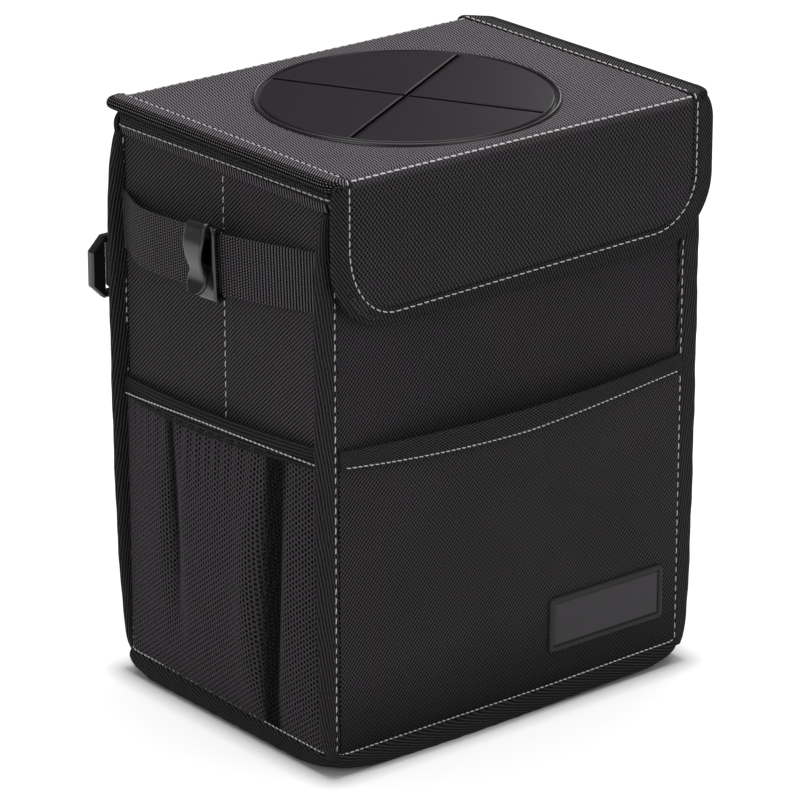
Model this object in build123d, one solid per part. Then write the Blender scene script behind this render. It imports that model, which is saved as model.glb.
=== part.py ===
"""Car trash bin: a soft-sided box with a hinged lid, a front flap and a slit rubber mouth.

Millimetres, +Z up. The origin is the middle of the base, on the floor. The front faces -Y.
"""

import math
import os

from build123d import *

# Box of sewn panels
panel_width = 184.0
panel_depth = 137.0
panel_thickness = 3.0
wall_height = 240.0
liner_thickness = 0.8

# Base and its binding
base_thickness = 4.5
base_step = 1.5
base_lap = 6.0
base_band_height = 8.0
base_band_reach = 4.5
base_corner_radius = 12.0
base_bevel = 2.5

# Tape that binds the rim and the upright seams
tape_proud = 1.0
rim_band_height = 10.0
rim_corner_radius = 4.0
seam_lap = 4.0
seam_reach = 7.75
front_foot_reach = 5.0
back_foot_reach = 0.5
seam_head_reach = 3.0
seam_foot_curve = 88.0
seam_head_curve = 30.0
fold_radius = 1.8
fold_bevel = 1.3

# Lid and its bindings
lid_clearance = 0.4
lid_thickness = 3.4
lid_tape_proud = 0.6
lid_reach = 8.0
lid_tape_width = 9.5
lid_hinge_setback = 1.7
hinge_clearance = 0.3
hinge_tape_thickness = 0.8
hinge_tape_height = 9.0

# Flap
flap_drop = 62.0
flap_tape_width = 9.5
flap_corner_radius = 28.0
fastener_width = 100.0
fastener_height = 20.0
fastener_thickness = 1.2
fastener_drop = 30.0

# Rubber membrane
mouth_radius = 61.7
membrane_fit = 0.2
membrane_sleeve = 2.0
membrane_flange = 2.5
membrane_thickness = 1.4
membrane_rim_height = 1.4
membrane_crown = 0.2
membrane_skirt = 3.0
slit_width = 1.2
slit_margin = 1.0
slit_angle = 27.0

# Front pocket and its patch
pocket_thickness = 1.2
pocket_height = 130.0
pocket_bow = 8.0
pocket_flat_height = 60.0
pocket_middle_share = 0.36
pocket_neck_share = 0.94
pocket_binding_height = 9.5
pocket_binding_thickness = 2.4
patch_width = 62.0
patch_height = 24.0
patch_thickness = 1.2
patch_corner_radius = 2.0
patch_frame = 1.6
patch_recess = 0.4
patch_seat = 0.1
patch_x = 48.0
patch_z = 33.0

# Mesh pockets on the sides
mesh_thickness = 1.2
mesh_height = 127.5
mesh_tilt = 2.8
mesh_bow = 9.0
mesh_hem_height = 8.5
mesh_hem_thickness = 2.0
mesh_hem_bow = 8.0
mesh_mouth_bow = 5.4
mesh_foot_bow = 2.5
mesh_columns = 14
mesh_rises = (0.0, 0.2, 0.45, 0.75, 1.0)
deep_fold_y = -29.0
deep_fold_depth = 6.0
deep_fold_width = 9.0
shallow_fold_y = 42.0
shallow_fold_depth = 3.4
shallow_fold_width = 8.0

# Webbing on the sides and the bag clips that slide on it
webbing_width = 25.0
webbing_thickness = 1.6
webbing_bow = 12.5
webbing_z = 203.0
webbing_tilt = 3.0
webbing_bend = 12.0
webbing_sewn = 5.0
webbing_front_slope = 45.5
webbing_back_slope = 16.5
clip_width = 14.0
clip_lead = 9.0
clip_gap = 0.4
clip_bar = 1.8
clip_plate = 2.2
clip_bridge = 2.3
clip_corner_radius = 1.5
tongue_thickness = 2.0
tongue_reach = 5.4
tongue_rise = 1.5
tongue_gap = 0.7
tongue_waist = 10.0
tongue_pad_radius = 6.75
tongue_tip_reach = 3.3
tongue_tip_drop = 8.7

# Hanging strap on the back
strap_z = 175.0
strap_width = 20.0
strap_bow = 11.5
strap_tail = 38.0
strap_sewn = 18.0
strap_lead = 38.0
strap_bend = 30.0
tab_thickness = 1.4
lock_thickness = 4.0
lock_height = 27.0
lock_inset = 6.5
lock_bar = 4.0
lock_lip = 6.5
lock_slot = 5.0
lock_slot_height = 21.5
lock_gap = 0.4
lock_stand_off = 13.5
lock_chamfer = 6.0
lock_corner_radius = 1.0
lock_bevel = 0.8

# Worked out from the sizes above
half_width = panel_width / 2
half_depth = panel_depth / 2
inner_half_width = half_width - panel_thickness
inner_half_depth = half_depth - panel_thickness
front_half_span = half_width - seam_lap
wall_bottom = base_thickness
wall_top = wall_bottom + wall_height
rim_top = wall_top + tape_proud
rim_bottom = rim_top - rim_band_height
lid_middle = rim_top + lid_clearance + lid_tape_proud + lid_thickness / 2
lid_top = lid_middle + lid_thickness / 2
lid_tape_half = lid_thickness / 2 + lid_tape_proud
lid_half_width = half_width + lid_reach
lid_panel_half = lid_half_width - lid_tape_width
lid_hinge_y = half_depth + tape_proud + lid_hinge_setback
flap_inner_y = -half_depth - 2 * fastener_thickness - hinge_clearance
flap_middle_y = flap_inner_y - lid_thickness / 2
flap_bottom = lid_middle - flap_drop
flap_panel_half = lid_half_width - flap_tape_width
fastener_z = lid_middle - fastener_drop - fastener_height / 2
mouth_y = (lid_hinge_y + flap_middle_y) / 2
crest_front = webbing_sewn + webbing_front_slope - inner_half_depth
crest_back = inner_half_depth - webbing_sewn - webbing_back_slope
clip_y = crest_front + clip_lead
lock_x = lock_inset - half_width
lock_bar_x = lock_x + lock_bar + lock_slot + webbing_thickness


def block(x, y, z):
    """A block given by its lowest and highest coordinate along each axis."""
    size = Box(x[1] - x[0], y[1] - y[0], z[1] - z[0])
    return Pos((x[0] + x[1]) / 2, (y[0] + y[1]) / 2, (z[0] + z[1]) / 2) * size


def front_face(outline, y_front, y_back):
    """An outline drawn in X and Z, given thickness from y_front back to y_back."""
    return extrude(Plane.XZ.offset(-y_back) * outline, amount=y_back - y_front)


def front_section(outline, z):
    """An outline drawn along the front wall and out of it, laid level at height z."""
    return Plane(origin=(0, -half_depth, z), x_dir=(-1, 0, 0), z_dir=(0, 0, 1)) * outline


def left_section(outline, z):
    """An outline drawn along the left wall and out of it, laid level at height z."""
    return Plane(origin=(-half_width, 0, z), x_dir=(0, 1, 0), z_dir=(0, 0, 1)) * outline


def back_section(outline, z):
    """An outline drawn along the back wall and out of it, laid level at height z."""
    return Plane(origin=(0, half_depth, z), x_dir=(1, 0, 0), z_dir=(0, 0, 1)) * outline


def other_side(solid):
    """The same piece on the right."""
    return mirror(solid, about=Plane.YZ)


def tilted(solid, z, angle):
    """A piece on the left wall turned about a point at height z, so that its back end drops."""
    return Pos(0, 0, z) * Rot(-angle, 0, 0) * Pos(0, 0, -z) * solid


def between_seams(solid):
    """The part of a tilted piece that lies between the upright seams."""
    return solid & block((-panel_width, 0), (-inner_half_depth, inner_half_depth), (0, wall_top))


def bowed_outline(half_span, thickness, bow):
    """A strip as long as twice half_span, standing off the wall by bow at its middle."""
    outer = ThreePointArc((-half_span, thickness), (0, thickness + bow), (half_span, thickness))
    inner = ThreePointArc((half_span, 0), (0, bow), (-half_span, 0))
    ends = [Line((half_span, thickness), (half_span, 0)), Line((-half_span, 0), (-half_span, thickness))]
    return make_face([outer, ends[0], inner, ends[1]])


def ribbon(path, width, thickness):
    """A flat band carried along a level path, half its width above and half below."""
    start = Plane(origin=path @ 0, x_dir=(0, 0, 1), z_dir=path % 0)
    return sweep(start * Rectangle(width, thickness), path)


def wall_panels():
    """Four boards: front and back reach into the seams, the sides stand between them."""
    z = (wall_bottom, wall_top)
    along = (-front_half_span, front_half_span)
    across = (-inner_half_depth, inner_half_depth)
    front = block(along, (-half_depth, -inner_half_depth), z)
    left = block((-half_width, -inner_half_width), across, z)
    return {
        "front_panel": front,
        "back_panel": mirror(front, about=Plane.XZ),
        "left_side_panel": left,
        "right_side_panel": other_side(left),
    }


def base_panel():
    """Bottom board: the walls stand on it, and a step lets the binding lie flush below."""
    upper = block((-half_width, half_width), (-half_depth, half_depth), (base_step, base_thickness))
    x, y = half_width - base_lap, half_depth - base_lap
    return upper + block((-x, x), (-y, y), (0, base_step))


def base_binding():
    """Rolled band round the foot of the walls, lapped under the edge of the base."""
    size = (panel_width + 2 * base_band_reach, panel_depth + 2 * base_band_reach)
    band = extrude(RectangleRounded(*size, base_corner_radius), base_band_height)
    rims = band.faces().sort_by(Axis.Z)
    band = chamfer([*rims[0].edges(), *rims[-1].edges()], base_bevel)
    walls = block((-half_width, half_width), (-half_depth, half_depth), (base_step, base_band_height))
    x, y = half_width - base_lap, half_depth - base_lap
    return band - walls - block((-x, x), (-y, y), (0, base_step))


def inner_liner():
    """Lining bag: a thin open box against the walls and the base, up to the rim tape."""
    x, y = inner_half_width, inner_half_depth
    bag = block((-x, x), (-y, y), (base_thickness, rim_bottom))
    x, y = x - liner_thickness, y - liner_thickness
    return bag - block((-x, x), (-y, y), (base_thickness + liner_thickness, rim_bottom))


def rim_binding(panels):
    """Tape folded over the top edges: a ring with the panels' edges let into it."""
    size = (panel_width + 2 * tape_proud, panel_depth + 2 * tape_proud)
    ring = extrude(RectangleRounded(*size, rim_corner_radius), rim_band_height)
    x, y = inner_half_width - liner_thickness, inner_half_depth - liner_thickness
    ring = Pos(0, 0, rim_bottom) * ring - block((-x, x), (-y, y), (rim_bottom, rim_top))
    for panel in panels:
        ring -= panel
    return ring


def upright_seam(foot_reach):
    """Front right seam: a taped fin in the plane of the front, drawn in to the base and the rim."""
    root = front_half_span
    fold = half_width + seam_reach
    foot = (half_width + foot_reach, base_band_height)
    head = (half_width + seam_head_reach, rim_bottom)
    low = (fold, base_band_height + seam_foot_curve)
    high = (fold, rim_bottom - seam_head_curve)
    outline = make_face([
        Line((root, base_band_height), foot),
        TangentArc(low, foot, tangent=(0, -1)),
        Line(low, high),
        TangentArc(high, head, tangent=(0, 1)),
        Line(head, (root, rim_bottom)),
        Line((root, rim_bottom), (root, base_band_height)),
    ])
    fin = front_face(outline, -half_depth - tape_proud, -inner_half_depth)
    folds = fin.edges().filter_by(Axis.Y, reverse=True).filter_by(lambda e: e.center().X > foot[0])
    return chamfer(folds, fold_bevel)


def front_pocket():
    """Pocket sheet: flat at the foot, bowing out towards its mouth."""
    top = base_band_height + pocket_height - pocket_binding_height
    middle = (pocket_flat_height + top) / 2
    stations = [(base_band_height, patch_seat / 2), (pocket_flat_height, patch_seat / 2),
                (middle, pocket_bow * pocket_middle_share), (top, pocket_bow * pocket_neck_share)]
    sections = [front_section(bowed_outline(front_half_span, pocket_thickness, bow), z)
                for z, bow in stations]
    return loft(sections, ruled=True)


def front_pocket_binding():
    """Taped mouth of the front pocket."""
    top = base_band_height + pocket_height
    stations = [(top - pocket_binding_height, pocket_bow * pocket_neck_share), (top, pocket_bow)]
    sections = [front_section(bowed_outline(front_half_span, pocket_binding_thickness, bow), z)
                for z, bow in stations]
    return loft(sections, ruled=True)


def label_patch():
    """Bare moulded patch with a raised frame."""
    back = -half_depth - pocket_thickness - patch_seat
    face = back - patch_thickness
    place = Pos(patch_x, patch_z)
    outline = place * RectangleRounded(patch_width, patch_height, patch_corner_radius)
    inside = place * Rectangle(patch_width - 2 * patch_frame, patch_height - 2 * patch_frame)
    return front_face(outline, face, back) - front_face(inside, face, face + patch_recess)


def mesh_stand_off(y, rise):
    """How far the net stands off the wall at a place y, for a rise of 0 at its foot to 1 at its hem.

    A crown that is widest in the middle of the height, less two folds that the hem pulls together.
    """
    crown = 1 - (y / inner_half_depth) ** 2
    bow = mesh_foot_bow + (mesh_hem_bow - mesh_foot_bow) * rise
    belly = math.sin(math.pi * rise)
    bow += (mesh_bow - (mesh_foot_bow + mesh_hem_bow) / 2) * belly
    deep = deep_fold_depth * math.exp(-((y - deep_fold_y) / deep_fold_width) ** 2)
    shallow = shallow_fold_depth * math.exp(-((y - shallow_fold_y) / shallow_fold_width) ** 2)
    return crown * bow - crown * belly * (deep + shallow)


def faceted_sheet(rows, thickness):
    """A sheet of flat triangles through a grid of points, thickened away from the left wall."""
    front = [[(x - thickness, y, z) for x, y, z in row] for row in rows]
    border = [rows[0], [row[-1] for row in rows], rows[-1][::-1], [row[0] for row in rows][::-1]]
    edge = [point for side in border for point in side[:-1]]
    rim = [[point, (point[0] - thickness, *point[1:])] for point in [*edge, edge[0]]]
    triangles = []
    for grid in (rows, front, rim):
        for low, high in zip(grid, grid[1:]):
            for i in range(len(low) - 1):
                triangles += [(low[i], low[i + 1], high[i + 1]), (low[i], high[i + 1], high[i])]
    return Solid(Shell([Face(Wire.make_polygon(points)) for points in triangles]))


def left_mesh_pocket():
    """Gathered net pocket: rows of points along its folds, joined up the wall to the tilted hem."""
    height = mesh_height - mesh_hem_height
    drop = math.tan(math.radians(mesh_tilt))
    spots = [inner_half_depth * (2 * i / mesh_columns - 1) for i in range(mesh_columns + 1)]
    rows = [[(-half_width - mesh_stand_off(y, rise), y, base_band_height + (height - drop * y) * rise)
             for y in spots] for rise in mesh_rises]
    return faceted_sheet(rows, mesh_thickness)


def left_mesh_hem():
    """Elastic hem that holds the net pocket's mouth, leaning back towards the wall."""
    top = base_band_height + mesh_height
    stations = [(top - mesh_hem_height, mesh_hem_bow), (top, mesh_mouth_bow)]
    sections = [left_section(bowed_outline(inner_half_depth, mesh_hem_thickness, bow), z)
                for z, bow in stations]
    return between_seams(tilted(loft(sections, ruled=True), top - mesh_hem_height, mesh_tilt))


def left_webbing():
    """Webbing sewn into both seams, standing off the wall along a straight crest."""
    rest, end = webbing_thickness / 2, inner_half_depth
    path = FilletPolyline(
        (-end, rest), (webbing_sewn - end, rest), (crest_front, webbing_bow),
        (crest_back, webbing_bow), (end - webbing_sewn, rest), (end, rest),
        radius=webbing_bend,
    )
    level = left_section(ribbon(path, webbing_width, webbing_thickness), webbing_z)
    return between_seams(tilted(level, webbing_z, webbing_tilt))


def left_clip():
    """Bag clip: a closed loop round the webbing and a sprung tongue bent over its front.

    Drawn with X out of the wall, Y up from the webbing's middle and Z along the webbing.
    """
    half_slot = webbing_width / 2 + clip_gap
    slot_back = webbing_bow - webbing_thickness / 2 - clip_gap
    slot_front = webbing_bow + webbing_thickness / 2 + clip_gap
    loop_back = slot_back - clip_bar
    plate_face = slot_front + clip_plate
    top = half_slot + clip_bridge
    loop = Pos((loop_back + plate_face) / 2, 0) * RectangleRounded(
        plate_face - loop_back, 2 * top, clip_corner_radius)
    loop -= Pos((slot_back + slot_front) / 2, 0) * Rectangle(slot_front - slot_back, 2 * half_slot)

    start = plate_face - tongue_thickness / 2
    bend_top = top + tongue_rise
    touch = plate_face + tongue_gap + tongue_thickness / 2
    touch_height = tongue_tip_drop - top
    path = FilletPolyline(
        (start, 0), (start, bend_top), (start + tongue_reach, bend_top),
        (touch, touch_height), (touch + tongue_tip_reach, touch_height - tongue_tip_drop),
        radius=tongue_reach / 2 - hinge_clearance,
    )
    tongue = ribbon(path, clip_width, tongue_thickness)

    pad_height = touch_height - tongue_tip_drop + tongue_pad_radius
    crown = bend_top + tongue_thickness
    plan = Pos(0, pad_height) * Circle(tongue_pad_radius)
    plan += Pos(0, (pad_height + crown) / 2) * Rectangle(tongue_waist, crown - pad_height)
    plan += Pos(0, (touch_height + crown) / 2 + tongue_waist / 2) * Rectangle(
        clip_width, crown - touch_height - tongue_waist)
    facing = Plane(origin=(0, 0, 0), x_dir=(0, 0, 1), z_dir=(-1, 0, 0))
    tongue &= extrude(facing * plan, touch + tongue_tip_reach + tongue_thickness, both=True)
    clip = extrude(loop, clip_width / 2, both=True) + tongue
    place = Plane(origin=(-half_width, clip_y, webbing_z), x_dir=(-1, 0, 0), z_dir=(0, 1, 0))
    return tilted(place * clip, webbing_z, webbing_tilt)


def edge_roll(half_length, y, radius):
    """A round edge lying along X at the height of the lid's middle."""
    return Pos(0, y, lid_middle) * Rot(0, 90, 0) * Cylinder(radius, 2 * half_length)


def lid_panel():
    """Lid board with its round mouth, the back edge rounded about the hinge line."""
    front = flap_middle_y + lid_thickness / 2 + hinge_clearance
    board = block((-lid_panel_half, lid_panel_half), (front, lid_hinge_y),
                  (lid_middle - lid_thickness / 2, lid_top))
    board += edge_roll(lid_panel_half, lid_hinge_y, lid_thickness / 2)
    return board - Pos(0, mouth_y, lid_middle) * Cylinder(mouth_radius, 2 * lid_thickness)


def lid_right_binding():
    """Tape along the lid's right edge, its fold rounded and its back end turned about the hinge line."""
    front = flap_middle_y + lid_tape_half + hinge_clearance
    tape = block((lid_panel_half, lid_half_width), (front, lid_hinge_y),
                 (lid_middle - lid_tape_half, lid_middle + lid_tape_half))
    folds = tape.edges().filter_by(Axis.Y).group_by(Axis.X)[-1]
    tape = fillet(folds, fold_radius)
    middle = (lid_panel_half + lid_half_width) / 2
    return tape + Pos(middle, 0, 0) * edge_roll(lid_tape_width / 2, lid_hinge_y, lid_tape_half)


def rubber_membrane():
    """Moulded disc in the lid's mouth: a raised rim, a skirt through the hole and crossed slits."""
    sleeve = mouth_radius - membrane_fit
    inner = sleeve - membrane_sleeve
    outer = mouth_radius + membrane_flange
    disc_top = lid_top + membrane_crown
    disc_bottom = disc_top - membrane_thickness
    rim = lid_top + membrane_rim_height
    skirt = lid_top - membrane_skirt
    bead = membrane_rim_height - membrane_crown
    profile = Polyline(
        (0, disc_bottom), (inner, disc_bottom), (inner, skirt), (sleeve, skirt), (sleeve, lid_top),
        (outer, lid_top), (outer, disc_top), (outer - bead, rim), (inner + bead, rim),
        (inner, disc_top), (0, disc_top), close=True,
    )
    disc = revolve(Plane.XZ * make_face(profile), Axis.Z)
    slit = Box(2 * (inner - slit_margin), slit_width, 4 * membrane_thickness)
    for turn in (0, 90):
        disc -= Pos(0, 0, disc_top) * Rot(0, 0, slit_angle + turn) * slit
    return Pos(0, mouth_y, 0) * disc


def flap_outline(half_span, bottom, radius):
    """The flap's shape in X and Z: straight sides up to the hinge line, rounded lower corners."""
    height = lid_middle - bottom
    sheet = Pos(0, bottom + height / 2) * Rectangle(2 * half_span, height)
    return fillet(sheet.vertices().group_by(Axis.Y)[0], radius)


def flap_panel():
    """Stiff flap, its upper edge rounded about the hinge line."""
    outline = flap_outline(flap_panel_half, flap_bottom + flap_tape_width, flap_corner_radius - flap_tape_width)
    half = lid_thickness / 2
    board = front_face(outline, flap_middle_y - half, flap_middle_y + half)
    return board + edge_roll(flap_panel_half, flap_middle_y, half)


def flap_binding():
    """Tape round the flap's free edge, its fold rounded."""
    outside = flap_outline(lid_half_width, flap_bottom, flap_corner_radius)
    tape = front_face(outside, flap_middle_y - lid_tape_half, flap_middle_y + lid_tape_half)
    folds = [face.edges().filter_by(lambda e: e.center().Z < lid_middle - fold_bevel)
             for face in tape.faces().filter_by(Axis.Y)]
    tape = chamfer([edge for group in folds for edge in group], fold_bevel)
    inside = flap_outline(flap_panel_half, flap_bottom + flap_tape_width, flap_corner_radius - flap_tape_width)
    tape -= front_face(inside, flap_middle_y - 2 * lid_tape_half, flap_middle_y + 2 * lid_tape_half)
    end = (flap_panel_half + lid_half_width) / 2
    for x in (-end, end):
        tape += Pos(x, 0, 0) * edge_roll(flap_tape_width / 2, flap_middle_y, lid_tape_half)
    return tape


def fastener_strip(y_front):
    """One half of the touch fastener between the flap and the front."""
    half = fastener_width / 2
    height = (fastener_z - fastener_height / 2, fastener_z + fastener_height / 2)
    return block((-half, half), (y_front, y_front + fastener_thickness), height)


def hinge_tape():
    """Tape on the back rim, under the lid's hinge line."""
    face = half_depth + tape_proud
    return block((-front_half_span, front_half_span), (face, face + hinge_tape_thickness),
                 (rim_top - hinge_tape_height, rim_top))


def hanging_strap():
    """Strap sewn at the right of the back, bowed out to the lock and turned back round its bar."""
    rest = webbing_thickness / 2
    sewn = front_half_span - strap_sewn
    run = lock_stand_off - lock_thickness / 2 - lock_gap - rest
    tail = lock_stand_off + lock_thickness / 2 + lock_gap + rest
    bend = lock_bar_x - lock_bar / 2
    lead = FilletPolyline((front_half_span, rest), (sewn, rest), (sewn - strap_lead, strap_bow),
                          (strap_lead - sewn, strap_bow), (bend + lock_lip, run), (bend, run),
                          radius=strap_bend)
    turn = ThreePointArc((bend, run), (bend - (tail - run) / 2, lock_stand_off), (bend, tail))
    end = Line((bend, tail), (bend + strap_tail, tail))
    path = Wire([*lead.edges(), turn, end])
    return back_section(ribbon(path, strap_width, webbing_thickness), strap_z)


def strap_tab():
    """Short loop of webbing from the left seam and the back round the lock's middle bar."""
    reach = lock_bar / 2 + lock_gap + tab_thickness / 2
    left, right = lock_x - reach, lock_x + reach
    crest = lock_stand_off + (lock_thickness - tab_thickness) / 2
    path = Wire([
        Line((left, tape_proud), (left, crest)),
        ThreePointArc((left, crest), (lock_x, crest + reach), (right, crest)),
        Line((right, crest), (right, 0)),
    ])
    return back_section(ribbon(path, strap_width, tab_thickness), strap_z)


def ladder_lock():
    """Moulded strap lock: a plate with two slots and a lip with cut corners."""
    x0 = lock_x - lock_bar / 2 - lock_slot - lock_lip
    x1 = lock_bar_x + lock_bar / 2
    plate = Pos((x0 + x1) / 2, strap_z) * Rectangle(x1 - x0, lock_height)
    plate = chamfer(plate.vertices().group_by(Axis.X)[0], lock_chamfer)
    plate = fillet(plate.vertices(), lock_corner_radius)
    left = lock_x - lock_bar / 2 - lock_slot / 2
    plate -= Pos(left, strap_z) * Rectangle(lock_slot, lock_slot_height)
    right = lock_bar_x - lock_bar / 2
    middle = lock_x + lock_bar / 2
    plate -= Pos((middle + right) / 2, strap_z) * Rectangle(right - middle, lock_slot_height)
    y = half_depth + lock_stand_off
    solid = front_face(plate, y - lock_thickness / 2, y + lock_thickness / 2)
    faces = solid.faces().filter_by(Axis.Y)
    rims = [edge for face in faces for edge in face.outer_wire().edges()]
    return chamfer(rims, lock_bevel)


def build():
    """All pieces by name."""
    panels = wall_panels()
    front_seam = upright_seam(front_foot_reach)
    back_seam = mirror(upright_seam(back_foot_reach), about=Plane.XZ)
    mesh, hem, webbing, clip = left_mesh_pocket(), left_mesh_hem(), left_webbing(), left_clip()
    lid_tape = lid_right_binding()
    return {
        **panels,
        "base_panel": base_panel(),
        "base_binding": base_binding(),
        "inner_liner": inner_liner(),
        "rim_binding": rim_binding(panels.values()),
        "front_right_seam": front_seam,
        "front_left_seam": other_side(front_seam),
        "back_right_seam": back_seam,
        "back_left_seam": other_side(back_seam),
        "front_pocket": front_pocket(),
        "front_pocket_binding": front_pocket_binding(),
        "label_patch": label_patch(),
        "left_mesh_pocket": mesh,
        "right_mesh_pocket": other_side(mesh),
        "left_mesh_hem": hem,
        "right_mesh_hem": other_side(hem),
        "left_webbing": webbing,
        "right_webbing": other_side(webbing),
        "left_clip": clip,
        "right_clip": other_side(clip),
        "front_loop_strip": fastener_strip(-half_depth - fastener_thickness),
        "hinge_tape": hinge_tape(),
        "hanging_strap": hanging_strap(),
        "strap_tab": strap_tab(),
        "ladder_lock": ladder_lock(),
        "lid_panel": lid_panel(),
        "lid_right_binding": lid_tape,
        "lid_left_binding": other_side(lid_tape),
        "rubber_membrane": rubber_membrane(),
        "flap_panel": flap_panel(),
        "flap_binding": flap_binding(),
        "flap_hook_strip": fastener_strip(flap_inner_y),
    }


os.makedirs("parts", exist_ok=True)
for name, solid in build().items():
    export_step(solid, f"parts/{name}.step")
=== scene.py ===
"""Looks of the car trash bin: sewn cloth, tapes, nets, webbing, moulded pieces and stitches.

Laid out as an add-on. Lengths in the code are millimetres in the part's frame (+Z up, front to -Y), and
texture coordinates are millimetres along each piece, so every pattern has its real scale.
"""

import math

import bmesh
import bpy
import numpy as np
from bpy.props import FloatProperty, FloatVectorProperty, PointerProperty
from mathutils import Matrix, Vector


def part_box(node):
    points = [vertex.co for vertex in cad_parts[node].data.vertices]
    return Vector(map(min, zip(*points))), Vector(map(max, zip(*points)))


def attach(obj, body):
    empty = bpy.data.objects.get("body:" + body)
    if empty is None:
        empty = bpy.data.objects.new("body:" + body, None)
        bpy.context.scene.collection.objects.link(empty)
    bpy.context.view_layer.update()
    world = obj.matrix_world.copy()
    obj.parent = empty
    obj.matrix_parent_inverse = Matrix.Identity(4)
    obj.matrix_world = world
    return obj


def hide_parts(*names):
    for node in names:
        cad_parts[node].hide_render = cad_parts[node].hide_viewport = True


bl_info = {
    "name": "Car Trash Bin Looks",
    "version": (1, 0, 0),
    "blender": (4, 5, 0),
    "location": "View3D > Sidebar > Bin",
    "description": "Builds the cloth, tape, net, strap and moulded pieces of the car trash bin",
    "category": "Object",
}

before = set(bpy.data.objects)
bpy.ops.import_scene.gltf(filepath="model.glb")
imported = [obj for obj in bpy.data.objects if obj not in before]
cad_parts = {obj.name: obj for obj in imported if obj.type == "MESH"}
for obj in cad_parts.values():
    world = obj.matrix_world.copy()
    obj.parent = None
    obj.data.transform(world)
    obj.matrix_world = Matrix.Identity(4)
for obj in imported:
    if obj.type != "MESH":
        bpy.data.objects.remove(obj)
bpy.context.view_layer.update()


def span(node):
    """Lowest and highest corner of a CAD node, in millimetres."""
    low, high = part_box(node)
    return np.array(low) * 1000, np.array(high) * 1000


WALL_X = -span("left_side_panel")[0][0]
WALL_Y = -span("front_panel")[0][1]
INNER_X = -span("left_side_panel")[1][0]
INNER_Y = span("left_side_panel")[1][1]
SPAN_X = span("front_panel")[1][0]
WALL_FOOT = span("front_panel")[0][2]
BAND_HIGH = span("base_binding")[1]
BAND_TOP = BAND_HIGH[2]
RIM_LOW, RIM_HIGH = span("rim_binding")
LID_LOW, LID_HIGH = span("lid_panel")
LID_MIDDLE = (LID_LOW[2] + LID_HIGH[2]) / 2
LID_HALF = (LID_HIGH[2] - LID_LOW[2]) / 2
LID_TOP = LID_HIGH[2]
LID_EDGE = span("lid_right_binding")[1][0]
LID_HINGE_Y = LID_HIGH[1] - LID_HALF
TAPE_HALF = (span("lid_right_binding")[1][2] - span("lid_right_binding")[0][2]) / 2
FLAP_LOW, FLAP_HIGH = span("flap_panel")
FLAP_Y = (FLAP_LOW[1] + FLAP_HIGH[1]) / 2
FLAP_FOOT = span("flap_binding")[0][2]
SEAM_X = span("front_right_seam")[1][0]
SEAM_Y = (WALL_Y + 1.0 + INNER_Y) / 2
POCKET_TOP = span("front_pocket_binding")[1][2]
PATCH_LOW, PATCH_HIGH = span("label_patch")
DISC_LOW, DISC_HIGH = span("rubber_membrane")
DISC_X, DISC_Y = -0.7, (DISC_LOW[1] + DISC_HIGH[1]) / 2 - 1.5
DISC_EDGE = DISC_HIGH[0] - 2.1
STRAP_LOW, STRAP_HIGH = span("hanging_strap")
STRAP_WIDE = STRAP_HIGH[2] - STRAP_LOW[2]
STRAP_Z = (STRAP_LOW[2] + STRAP_HIGH[2]) / 2

NET_FOOT = BAND_TOP
NET_HEIGHT = 119.0
NET_DROP = math.tan(math.radians(2.8))
NET_BOW = 6.25
CREASE_NEAR, CREASE_LEAN, CREASE_FAR = -31.5, -9.0, 27.0
WEBBING_Z = 203.0
WEBBING_TILT = math.radians(3.0)
WEBBING_HALF = 0.8
BOARD = 2.6
LINING = 0.7
LID_SHIFT = 1.7
LID_TAPE = {1: 13.2, -1: 10.8}
FLAP_TAPE = 8.9
GROOVE = 1.4
MERGE = 2e-6
TURN = 2 * math.pi
QUARTER = math.pi / 2
SIDES = ((-1, "left"), (1, "right"))


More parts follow.
